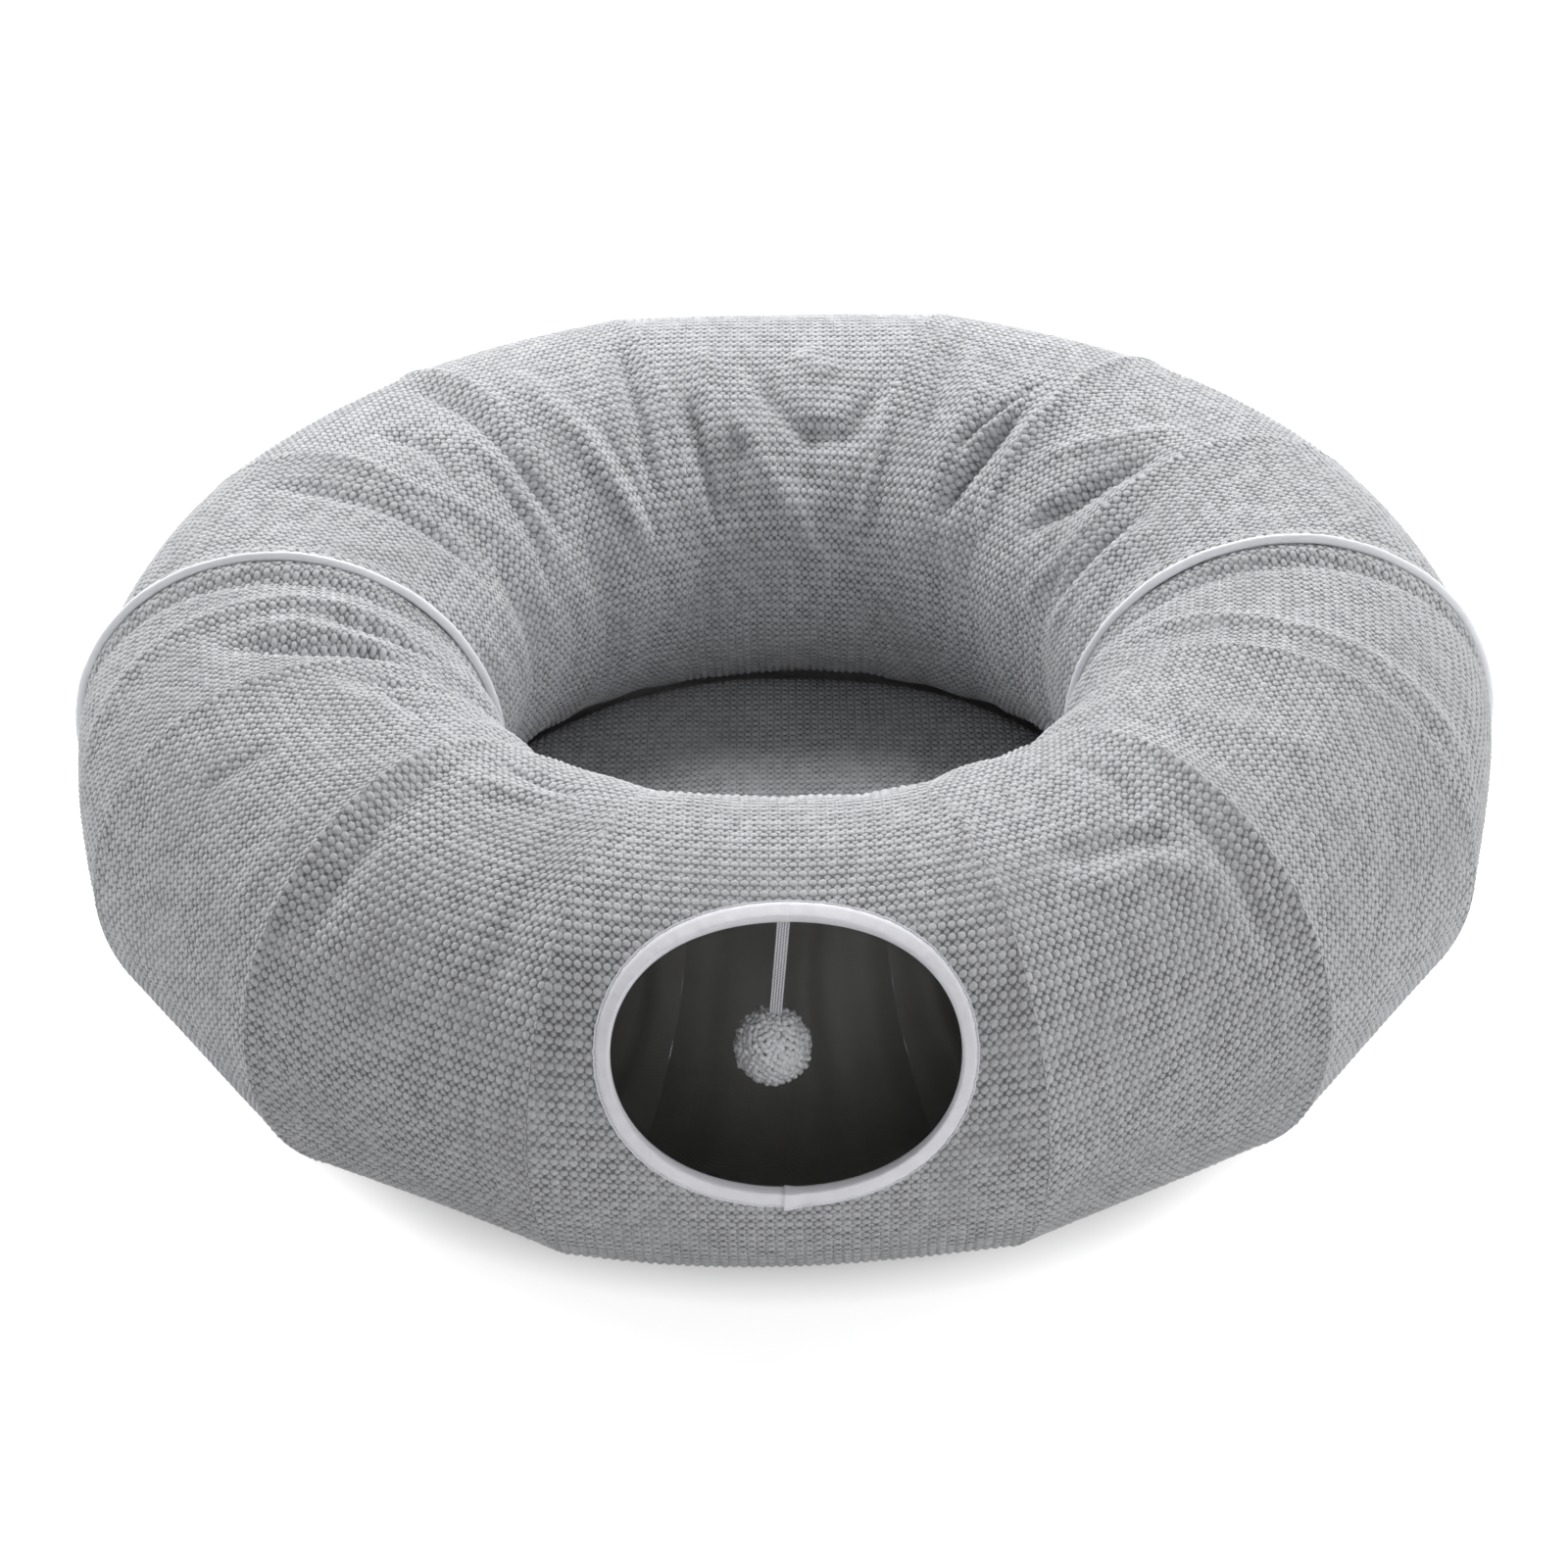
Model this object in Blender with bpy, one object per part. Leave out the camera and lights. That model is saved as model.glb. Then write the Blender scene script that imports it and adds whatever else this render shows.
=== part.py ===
"""Donut cat tunnel: two half rings of cloth stretched over spring wire hoops, zipped together at both sides.

Each half has seven cloth bays between eight hoops, a cover outside and a lining inside.
The middle bay has a bound porthole, and a pompom hangs on elastic in the front one.
A round mat lies in the well. Every length is in metres, Z is up and the front faces -Y.
"""
import math

import bmesh
import bpy
from mathutils import Vector

# Overall sizes.
OVERALL_WIDTH = 1.0
TUBE_RADIUS = 0.1475
RING_RADIUS = OVERALL_WIDTH / 2 - TUBE_RADIUS
AXIS_HEIGHT = TUBE_RADIUS
FLOOR_CLEARANCE = 0.0002
GAP = 0.0003

# Layers of the tube wall, as radii from the tube's own centre line.
COVER_THICKNESS = 0.0035
COVER_INNER = TUBE_RADIUS - COVER_THICKNESS
WIRE_RADIUS = 0.0015
WIRE_CLEARANCE = 0.0004
WIRE_CENTRE = COVER_INNER - WIRE_CLEARANCE - WIRE_RADIUS
LINING_OUTER = WIRE_CENTRE - WIRE_RADIUS - WIRE_CLEARANCE
LINING_THICKNESS = 0.001
LINING_INNER = LINING_OUTER - LINING_THICKNESS

# Where the hoops stand, in degrees from the middle of a half, and how far the end hoops stay off the joint.
HOOP_ANGLES = (-90, -66, -42, -18, 18, 42, 66, 90)
END_HOOP_OFFSET = 0.012
SECTION_STEPS = 20
PORTHOLE_BAY = 3

# The cloth between two hoops: how far it sags in, and how much of the arc it keeps over the straight chord.
CLOTH_SAG = 0.003
BAY_BULGE = 0.15
PORTHOLE_BULGE = 0.6

# Porthole, measured on the outer face: centre angle above level, half width, half height along the cloth.
PORTHOLE_ANGLE = 30.0
PORTHOLE_HALF_WIDTH = 0.1055
PORTHOLE_HALF_HEIGHT = 0.0950
BINDING_WIDTH = 0.008
BINDING_THICKNESS = 0.001
BINDING_LIP = 0.0012
PATCH_LOW = -36
PATCH_HIGH = 90
PATCH_COLUMNS = 6
PINCH_DROP = 0.0020
PINCH_RADIUS = COVER_INNER - PINCH_DROP

# The joint between the halves: piping on the front half, a raised hem on the rear half.
PIPING_RADIUS = 0.0025
PIPING_RISE = 0.0005
PIPING_CENTRE = TUBE_RADIUS + PIPING_RISE
PIPING_SIDES = 8
HEM_WIDTH = 0.008
HEM_RISE = 0.0018
HEM_INNER_RISE = 0.0016
HEM_STEP = 0.0006
LINING_END = 0.0068

# Zip: a tape with a coil on each half, and a slider whose post runs between the two coils.
ZIP_DEPTH = 0.00645
ZIP_RADIUS = TUBE_RADIUS - ZIP_DEPTH
TAPE_WIDTH = 0.0095
TAPE_HALF_THICKNESS = 0.00025
TAPE_EDGE_LOW = ZIP_RADIUS - TAPE_HALF_THICKNESS
TAPE_EDGE_HIGH = ZIP_RADIUS + TAPE_HALF_THICKNESS
COIL_HALF_THICKNESS = 0.00085
COIL_LOW = ZIP_RADIUS - COIL_HALF_THICKNESS
COIL_HIGH = ZIP_RADIUS + COIL_HALF_THICKNESS
COIL_NEAR = 0.0008
COIL_FAR = 0.0024
ZIP_START = -72
ZIP_END = 252
ZIP_STEPS = 36
STOP_INSET = 0.7
STOP_LENGTH = 0.0030
STOP_HALF_WIDTH = 0.0020
STOP_UNDER = 0.0006
STOP_OVER = 0.0003
STOP_LOW = COIL_LOW - STOP_UNDER
STOP_HIGH = COIL_HIGH + STOP_OVER
SLIDER_REST = 246.0
SLIDER_LENGTH = 0.012
SLIDER_HALF_WIDTH = 0.004
SLIDER_POST_HALF = 0.0004
SLIDER_INNER_CLEARANCE = 0.0009
SLIDER_INNER_THICKNESS = 0.0010
SLIDER_OUTER_CLEARANCE = 0.0003
SLIDER_OUTER_THICKNESS = 0.0008
SLIDER_INNER_HIGH = COIL_LOW - SLIDER_INNER_CLEARANCE
SLIDER_INNER_LOW = SLIDER_INNER_HIGH - SLIDER_INNER_THICKNESS
SLIDER_OUTER_LOW = COIL_HIGH + SLIDER_OUTER_CLEARANCE
SLIDER_OUTER_HIGH = SLIDER_OUTER_LOW + SLIDER_OUTER_THICKNESS
BAIL_DROP = 0.0022
BAIL_LOW = SLIDER_INNER_LOW - BAIL_DROP
BAIL_BRIDGE = 0.0007
BAIL_HALF_WIDTH = 0.0012
BAIL_HALF_LENGTH = 0.0026
BAIL_POST = 0.0010
TAB_DROP = 0.00075
TAB_PIVOT = SLIDER_INNER_LOW - TAB_DROP
TAB_BAR_RADIUS = 0.00045
TAB_EYE_HALF = 0.0018
TAB_HALF_WIDTH = 0.0034
TAB_EYE_LENGTH = 0.0050
TAB_LENGTH = 0.022

# Elastic and pompom in the front porthole.
ELASTIC_INSET = 0.00437
ELASTIC_ANGLE = PORTHOLE_ANGLE + math.degrees((PORTHOLE_HALF_HEIGHT + ELASTIC_INSET) / TUBE_RADIUS)
ELASTIC_WIDTH = 0.008
ELASTIC_THICKNESS = 0.0008
ELASTIC_LENGTH = 0.074
ELASTIC_LEAN = 5.0
ELASTIC_DROP = 0.0029
ELASTIC_END_STEPS = 8
POMPOM_RADIUS = 0.024
POMPOM_CROWN_GAP = 0.0004

# Mat in the well: its crown, then (height, gap to the tube's wall) pairs round its edge, down to the lip.
MAT_TOP = 0.033
MAT_CROWN_SHARE = 0.56
MAT_CROWN_HEIGHT = 0.0325
MAT_EDGE = ((0.0305, 0.0419), (0.0275, 0.0014), (0.0215, 0.0003), (0.0125, 0.0142), (0.0045, 0.0439))
MAT_LIP_WIDTH = 0.0295
MAT_LIP_HEIGHT = 0.0009
MAT_COVER_THICKNESS = 0.003
MAT_LIP_THICKNESS = 0.0015
MAT_BASE_LOW = 0.0003
MAT_BASE_HIGH = 0.0018
MAT_STEPS = 30

# Colours: red, green and blue, then roughness and metallic.
CLOTH_GREY = ((0.50, 0.51, 0.52), 0.95, 0.0)
LINING_GREY = ((0.032, 0.032, 0.033), 0.8, 0.0)
WIRE_STEEL = ((0.40, 0.40, 0.41), 0.35, 1.0)
SATIN_WHITE = ((0.80, 0.81, 0.86), 0.45, 0.0)
COTTON_WHITE = ((0.74, 0.74, 0.78), 0.85, 0.0)
ZIP_GREY = ((0.20, 0.20, 0.21), 0.6, 0.0)
SLIDER_METAL = ((0.45, 0.45, 0.46), 0.3, 1.0)
ELASTIC_WHITE = ((0.55, 0.55, 0.58), 0.7, 0.0)
YARN_GREY = ((0.22, 0.22, 0.225), 0.95, 0.0)
FILLING_WHITE = ((0.80, 0.80, 0.78), 0.9, 0.0)
BASE_BLACK = ((0.03, 0.03, 0.03), 0.85, 0.0)

FRONT = 1
REAR = -1
SIDE_NAMES = {FRONT: "front", REAR: "rear"}
SMOOTH_ANGLE = math.radians(40)


class Plane:
    """An upright plane that holds one hoop: its centre, the way out of the ring, and the way on round it."""

    def __init__(self, centre, outward, onward):
        self.centre = centre
        self.outward = outward
        self.onward = onward


def clear_scene():
    """Removes every object that the file starts with."""
    for found in list(bpy.data.objects):
        bpy.data.objects.remove(found, do_unlink=True)


def make_material(name, look):
    """A Principled material of one colour, roughness and metallic value."""
    colour, roughness, metallic = look
    made = bpy.data.materials.new(name)
    made.use_nodes = True
    shader = made.node_tree.nodes["Principled BSDF"]
    shader.inputs["Base Color"].default_value = (*colour, 1.0)
    shader.inputs["Roughness"].default_value = roughness
    shader.inputs["Metallic"].default_value = metallic
    made.diffuse_color = (*colour, 1.0)
    return made


def make_empty(name, location, parent=None):
    """An empty on a joint's axis, for the pieces of one moving body."""
    empty = bpy.data.objects.new(name, None)
    empty.empty_display_size = TUBE_RADIUS / 4
    bpy.context.collection.objects.link(empty)
    empty.parent = parent
    base = parent_location(parent)
    empty.location = Vector(location) - base
    return empty


def parent_location(parent):
    """Where a parent stands in the world; every empty here is unturned."""
    total = Vector((0, 0, 0))
    while parent is not None:
        total += parent.location
        parent = parent.parent
    return total


def make_object(name, corners, faces, look, parent):
    """One closed piece from world points, with its origin moved to its parent's joint axis."""
    base = parent_location(parent)
    mesh = bpy.data.meshes.new(name)
    mesh.from_pydata([Vector(c) - base for c in corners], [], faces)
    shape = bmesh.new()
    shape.from_mesh(mesh)
    bmesh.ops.recalc_face_normals(shape, faces=shape.faces)
    shape.to_mesh(mesh)
    shape.free()
    mesh.shade_smooth()
    mesh.set_sharp_from_angle(angle=SMOOTH_ANGLE)
    made = bpy.data.objects.new(name, mesh)
    bpy.context.collection.objects.link(made)
    made.data.materials.append(make_material(name, look))
    made.parent = parent
    return made


def flat_direction(x, y):
    return Vector((x, y, 0))


def hoop_plane(side, angle):
    """The plane of the hoop at an angle from the middle of a half; the end hoops stand parallel to the joint."""
    turn = math.radians(angle)
    outward = flat_direction(math.sin(turn), -side * math.cos(turn))
    onward = flat_direction(math.cos(turn), side * math.sin(turn))
    if abs(angle) < 90:
        return Plane(outward * RING_RADIUS, outward, onward)
    return joint_plane(side, angle, END_HOOP_OFFSET)


def joint_plane(side, angle, offset):
    """A plane parallel to the joint between the halves, at an offset into one half."""
    edge = math.copysign(1, angle)
    centre = flat_direction(edge * RING_RADIUS, -side * offset)
    return Plane(centre, flat_direction(edge, 0), flat_direction(0, side * edge))


def section_point(plane, angle, radius):
    """A point of the tube's section in a plane, with the angle in degrees above level, measured outwards."""
    turn = math.radians(angle)
    point = plane.centre + plane.outward * (radius * math.cos(turn))
    point.z = max(AXIS_HEIGHT + radius * math.sin(turn), 0.0)
    return point


def section_angles():
    return [step * 360 / SECTION_STEPS for step in range(SECTION_STEPS)]


def bay_point(start, end, bulge, across, angle, radius):
    """A point of the cloth between two hoop planes; across runs from 0 to 1."""
    arch = 4 * across * (1 - across)
    near = section_point(start, angle, radius - CLOTH_SAG * arch)
    far = section_point(end, angle, radius - CLOTH_SAG * arch)
    point = near.lerp(far, across)
    middle = (start.outward + end.outward).normalized()
    half_turn = start.outward.angle(end.outward) / 2
    reach = RING_RADIUS + radius * math.cos(math.radians(angle))
    point += middle * (bulge * arch * reach * (1 - math.cos(half_turn)))
    if across <= 0:
        point += start.onward * (GAP / 2)
    elif across >= 1:
        point -= end.onward * (GAP / 2)
    return point


def ring_of(place):
    """One ring of points round the tube from a function of the section angle."""
    return [place(angle) for angle in section_angles()]


def plane_ring(plane, radius):
    return ring_of(lambda angle: section_point(plane, angle, radius))


def bay_ring(start, end, across, radius):
    return ring_of(lambda angle: bay_point(start, end, BAY_BULGE, across, angle, radius))


def closed_skin(name, outer, inner, look, parent):
    """A tube of cloth with real thickness, from matching rings of its outer and inner faces."""
    count = len(outer[0])
    corners = [corner for ring in outer + inner for corner in ring]
    depth = len(outer) * count
    faces = []
    for place in range(len(outer) - 1):
        for step in range(count):
            onward = (step + 1) % count
            near, far = place * count, (place + 1) * count
            for triangle in split(near + step, far + step, far + onward, near + onward):
                faces.append(triangle)
                faces.append(tuple(corner + depth for corner in reversed(triangle)))
    for edge in (0, (len(outer) - 1) * count):
        for step in range(count):
            onward = (step + 1) % count
            faces.append((edge + step, edge + onward, edge + onward + depth, edge + step + depth))
    return make_object(name, corners, faces, look, parent)


def split(first, second, third, fourth):
    """A four-sided face as two triangles, cut the same way in every layer so that the layers keep their gap."""
    return (first, second, third), (first, third, fourth)


def swept_tube(name, path, across_directions, profile_radius, sides, look, parent):
    """A closed loop of round section along a path of points with their two section directions."""
    corners = []
    for point, (first, second) in zip(path, across_directions):
        for side in range(sides):
            turn = 2 * math.pi * side / sides
            corners.append(point + first * (profile_radius * math.cos(turn))
                           + second * (profile_radius * math.sin(turn)))
    count = len(path)
    faces = []
    for place in range(count):
        following = (place + 1) % count
        for side in range(sides):
            onward = (side + 1) % sides
            faces.append((place * sides + side, place * sides + onward,
                          following * sides + onward, following * sides + side))
    return make_object(name, corners, faces, look, parent)


def make_hoop(name, plane, parent):
    """One spring wire hoop."""
    path = plane_ring(plane, WIRE_CENTRE)
    middle = plane.centre + Vector((0, 0, AXIS_HEIGHT))
    directions = [((point - middle).normalized(), plane.onward) for point in path]
    return swept_tube(name, path, directions, WIRE_RADIUS, 6, WIRE_STEEL, parent)


def cover_rings(side, bay, start, end):
    """Outer and inner rings of one plain cover bay, with its end run out to the joint."""
    outer = [bay_ring(start, end, across, TUBE_RADIUS) for across in (0, 0.5, 1)]
    inner = [bay_ring(start, end, across, COVER_INNER) for across in (0, 0.5, 1)]
    if bay in (0, len(HOOP_ANGLES) - 2):
        angle = HOOP_ANGLES[0] if bay == 0 else HOOP_ANGLES[-1]
        extra_outer, extra_inner = end_rings(side, angle)
        hoop = hoop_plane(side, angle)
        if bay == 0:
            outer = extra_outer + [plane_ring(hoop, TUBE_RADIUS)] + outer[1:]
            inner = extra_inner + [plane_ring(hoop, COVER_INNER)] + inner[1:]
        else:
            outer = outer[:-1] + [plane_ring(hoop, TUBE_RADIUS)] + extra_outer[::-1]
            inner = inner[:-1] + [plane_ring(hoop, COVER_INNER)] + extra_inner[::-1]
    return outer, inner


def end_rings(side, angle):
    """The cover's last rings beside the joint: a plain cut edge in front, a raised hem behind."""
    if side == FRONT:
        edge = joint_plane(side, angle, 2 * PIPING_RADIUS + 1.5 * GAP)
        return [plane_ring(edge, TUBE_RADIUS)], [plane_ring(edge, COVER_INNER)]
    edge = joint_plane(side, angle, GAP / 2)
    crest = joint_plane(side, angle, HEM_WIDTH)
    foot = joint_plane(side, angle, HEM_WIDTH + HEM_STEP)
    outer = [hem_ring(edge), hem_ring(crest), plane_ring(foot, TUBE_RADIUS)]
    raised = COVER_INNER + HEM_INNER_RISE
    inner = [plane_ring(edge, raised), plane_ring(crest, raised), plane_ring(foot, COVER_INNER)]
    return outer, inner


def hem_ring(plane):
    """The raised hem, pressed flat where it stands on the floor."""
    return plane_ring(plane, TUBE_RADIUS + HEM_RISE)


def lining_rings(side, bay, start, end):
    """Outer and inner rings of one plain lining bay; the end bays stop short of the zip."""
    outer = [bay_ring(start, end, across, LINING_OUTER) for across in (0, 0.5, 1)]
    inner = [bay_ring(start, end, across, LINING_INNER) for across in (0, 0.5, 1)]
    if bay in (0, len(HOOP_ANGLES) - 2):
        angle = HOOP_ANGLES[0] if bay == 0 else HOOP_ANGLES[-1]
        planes = [joint_plane(side, angle, LINING_END), hoop_plane(side, angle)]
        more_outer = [plane_ring(plane, LINING_OUTER) for plane in planes]
        more_inner = [plane_ring(plane, LINING_INNER) for plane in planes]
        if bay == 0:
            return more_outer + outer[1:], more_inner + inner[1:]
        return outer[:-1] + more_outer[::-1], inner[:-1] + more_inner[::-1]
    return outer, inner


def porthole_point(turn, spread, radius_at, start, end):
    """A point round the porthole: spread 0 is the cloth's cut edge, 1 is the binding's outer edge."""
    half_width = PORTHOLE_HALF_WIDTH + BINDING_WIDTH * spread
    half_height = PORTHOLE_HALF_HEIGHT + BINDING_WIDTH * spread
    angle = PORTHOLE_ANGLE + math.degrees(half_height * math.sin(turn) / TUBE_RADIUS)
    reach = RING_RADIUS + TUBE_RADIUS * math.cos(math.radians(angle))
    half_bay = math.sin(start.outward.angle(end.outward) / 2)
    across = 0.5 + half_width * math.cos(turn) / (2 * reach * half_bay)
    return across, angle, bay_point(start, end, PORTHOLE_BULGE, across, angle, radius_at)


def patch_border():
    """The (across, angle) pairs round the patch that holds the porthole, anticlockwise from its low left corner."""
    step = 360 // SECTION_STEPS
    rows = list(range(PATCH_LOW, PATCH_HIGH + 1, step))
    columns = [column / PATCH_COLUMNS for column in range(PATCH_COLUMNS + 1)]
    border = [(across, rows[0]) for across in columns[:-1]]
    border += [(1.0, row) for row in rows[:-1]]
    border += [(across, rows[-1]) for across in columns[:0:-1]]
    border += [(0.0, row) for row in rows[:0:-1]]
    return border


def porthole_turn(across, angle):
    """The direction from the porthole's centre to a point of the patch's border."""
    sideways = (across - 0.5) * PORTHOLE_HALF_WIDTH * 3
    upwards = math.radians(angle - PORTHOLE_ANGLE) * TUBE_RADIUS
    return math.atan2(upwards, sideways)


def porthole_skin(name, start, end, outer_radius, inner_radius, pinch_outer, pinch_inner, look, parent):
    """The porthole bay: a plain skin round the tube with an oval opening, its edge pinched thin for the binding."""
    corners = []
    places = {}

    def corner(key, outer_point, inner_point):
        if key not in places:
            places[key] = len(corners)
            corners.extend((outer_point, inner_point))
        return key

    def grid_corner(across, angle):
        key = ("grid", round(across, 4), round(angle) % 360)
        return corner(key, bay_point(start, end, PORTHOLE_BULGE, across, angle, outer_radius),
                      bay_point(start, end, PORTHOLE_BULGE, across, angle, inner_radius))

    def hole_corner(ring, place, turn):
        return corner(("hole", ring, place), porthole_point(turn, ring, pinch_outer, start, end)[2],
                      porthole_point(turn, ring, pinch_inner, start, end)[2])

    quads = []
    rims = []
    border = patch_border()
    count = len(border)
    turns = [porthole_turn(*pair) for pair in border]
    rings = [[hole_corner(ring, place, turns[place]) for place in range(count)] for ring in (0, 1)]
    rings.append([grid_corner(*pair) for pair in border])
    for inside, outside in zip(rings, rings[1:]):
        for place in range(count):
            onward = (place + 1) % count
            quads.append((inside[place], outside[place], outside[onward], inside[onward]))
    rims += [(rings[0][place], rings[0][(place + 1) % count]) for place in range(count)]
    step = 360 // SECTION_STEPS
    columns = [column / PATCH_COLUMNS for column in range(PATCH_COLUMNS + 1)]
    for angle in range(PATCH_HIGH, PATCH_LOW + 360, step):
        for low, high in zip(columns, columns[1:]):
            quads.append((grid_corner(low, angle), grid_corner(high, angle),
                          grid_corner(high, angle + step), grid_corner(low, angle + step)))
    for angle in range(0, 360, step):
        for across in (0.0, 1.0):
            rims.append((grid_corner(across, angle), grid_corner(across, angle + step)))
    triangles = [triangle for quad in quads for triangle in split(*quad)]
    faces = [tuple(places[key] for key in triangle) for triangle in triangles]
    faces += [tuple(places[key] + 1 for key in reversed(triangle)) for triangle in triangles]
    faces += [(places[a], places[b], places[b] + 1, places[a] + 1) for a, b in rims]
    return make_object(name, corners, faces, look, parent)


def make_binding(name, start, end, parent):
    """The bias tape folded over the porthole's cut edge, as one closed band with a channel for the cloth."""
    skin_outer, skin_inner = PINCH_RADIUS + COVER_THICKNESS, PINCH_RADIUS - LINING_THICKNESS - GAP
    low_face, high_face = skin_inner - GAP, skin_outer + GAP
    lip = -BINDING_LIP / BINDING_WIDTH
    slot = -GAP / BINDING_WIDTH
    profile = ((1, high_face), (1, high_face + BINDING_THICKNESS), (lip, high_face + BINDING_THICKNESS),
               (lip, low_face - BINDING_THICKNESS), (1, low_face - BINDING_THICKNESS), (1, low_face),
               (slot, low_face), (slot, high_face))
    turns = [porthole_turn(*pair) for pair in patch_border()]
    corners = [porthole_point(turn, spread, radius, start, end)[2] for turn in turns for spread, radius in profile]
    faces = []
    count, sides = len(turns), len(profile)
    for place in range(count):
        here, there = place * sides, (place + 1) % count * sides
        for side in range(sides):
            onward = (side + 1) % sides
            if profile[onward][0] >= profile[side][0]:
                faces += split(here + side, here + onward, there + onward, there + side)
            else:
                faces += split(here + onward, there + onward, there + side, here + side)[::-1]
    return make_object(name, corners, faces, COTTON_WHITE, parent)


def make_half(side, parents):
    """Every hoop, cover, lining and binding of one half; parents are its bodies from the left end on."""
    word = SIDE_NAMES[side]
    planes = [hoop_plane(side, angle) for angle in HOOP_ANGLES]
    hoop_parents = parents[:4] + parents[5:]
    for number, (plane, parent) in enumerate(zip(planes, hoop_parents), 1):
        make_hoop(f"hoop_{word}_{number}", plane, parent)
    bay_parents = parents[:3] + [parents[4]] + parents[5:8]
    for bay, parent in enumerate(bay_parents):
        start, end = planes[bay], planes[bay + 1]
        if bay == PORTHOLE_BAY:
            porthole_skin(f"cover_{word}_4_porthole", start, end, TUBE_RADIUS, COVER_INNER,
                          PINCH_RADIUS + COVER_THICKNESS, PINCH_RADIUS, CLOTH_GREY, parent)
            porthole_skin(f"lining_{word}_4_porthole", start, end, LINING_OUTER, LINING_INNER,
                          PINCH_RADIUS - GAP, PINCH_RADIUS - GAP - LINING_THICKNESS, LINING_GREY, parent)
            make_binding(f"binding_{word}", start, end, parent)
            continue
        outer, inner = cover_rings(side, bay, start, end)
        closed_skin(f"cover_{word}_{bay + 1}", outer, inner, CLOTH_GREY, parent)
        outer, inner = lining_rings(side, bay, start, end)
        closed_skin(f"lining_{word}_{bay + 1}", outer, inner, LINING_GREY, parent)


def make_piping(name, edge_angle, parent):
    """The white piping round the front half's end, pressed flat where it stands on the floor."""
    plane = joint_plane(FRONT, edge_angle, PIPING_RADIUS + GAP / 2)
    path = plane_ring(plane, PIPING_CENTRE)
    for point in path:
        point.z = max(point.z, PIPING_RADIUS + FLOOR_CLEARANCE)
    middle = plane.centre + Vector((0, 0, AXIS_HEIGHT))
    directions = [((point - middle).normalized(), plane.onward) for point in path]
    return swept_tube(name, path, directions, PIPING_RADIUS, PIPING_SIDES, SATIN_WHITE, parent)


def zip_tape(edge_angle, side):
    """Corners and faces of one zip tape with its coil along the joint."""
    profile = ((COIL_NEAR, COIL_LOW), (COIL_FAR, COIL_LOW), (TAPE_WIDTH, TAPE_EDGE_LOW),
               (TAPE_WIDTH, TAPE_EDGE_HIGH), (COIL_FAR, COIL_HIGH), (COIL_NEAR, COIL_HIGH))
    corners = []
    for step in range(ZIP_STEPS + 1):
        angle = ZIP_START + (ZIP_END - ZIP_START) * step / ZIP_STEPS
        for offset, radius in profile:
            corners.append(section_point(joint_plane(side, edge_angle, offset), angle, radius))
    sides = len(profile)
    faces = [tuple(range(sides)), tuple(range(ZIP_STEPS * sides, (ZIP_STEPS + 1) * sides))[::-1]]
    for step in range(ZIP_STEPS):
        for place in range(sides):
            onward = (place + 1) % sides
            faces.append((step * sides + place, (step + 1) * sides + place,
                          (step + 1) * sides + onward, step * sides + onward))
    return corners, faces


def make_zip(name, edge_angle, sides, parent):
    """One tape of a zip, or both held together by the stop at the zip's end."""
    made = make_object(name, *zip_tape(edge_angle, sides[0]), ZIP_GREY, parent)
    if len(sides) == 2:
        place = zip_frame(edge_angle, ZIP_END - STOP_INSET)
        half = STOP_LENGTH / 2
        outline = ((-half, STOP_LOW), (half, STOP_LOW), (half, STOP_HIGH), (-half, STOP_HIGH))
        union_with(made, *prism(outline, -STOP_HALF_WIDTH, STOP_HALF_WIDTH, place))
        union_with(made, *zip_tape(edge_angle, sides[1]))
    return made


def prism(outline, low, high, place):
    """Corners and faces of a prism: outline pairs run (along, radius), low and high are its two side faces."""
    corners = [place(along, side, radius) for side in (low, high) for along, radius in outline]
    count = len(outline)
    faces = [tuple(range(count)), tuple(range(count, 2 * count))[::-1]]
    faces += [(step, step + count, (step + 1) % count + count, (step + 1) % count) for step in range(count)]
    return corners, faces


def zip_frame(edge_angle, zip_angle):
    """A function from (along the zip, across it, radius) to a world point, at one place on the zip."""
    turn = math.radians(zip_angle)
    edge = math.copysign(1, edge_angle)
    centre = Vector((edge * RING_RADIUS, 0, AXIS_HEIGHT))
    outward = Vector((edge * math.cos(turn), 0, math.sin(turn)))
    along_zip = Vector((edge * math.sin(turn), 0, -math.cos(turn)))

    def place(along, across, radius):
        return centre + outward * radius + along_zip * along + Vector((0, across, 0))

    return place


def union_with(target, corners, faces):
    """Joins another closed solid to an object with an exact Boolean."""
    tool = make_object("joined_piece", corners, faces, SLIDER_METAL, target.parent)
    join = target.modifiers.new("join", "BOOLEAN")
    join.operation = "UNION"
    join.solver = "EXACT"
    join.object = tool
    bpy.context.view_layer.update()
    shown = target.evaluated_get(bpy.context.evaluated_depsgraph_get())
    mesh = bpy.data.meshes.new_from_object(shown)
    target.modifiers.clear()
    target.data = mesh
    bpy.data.objects.remove(tool, do_unlink=True)


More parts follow.
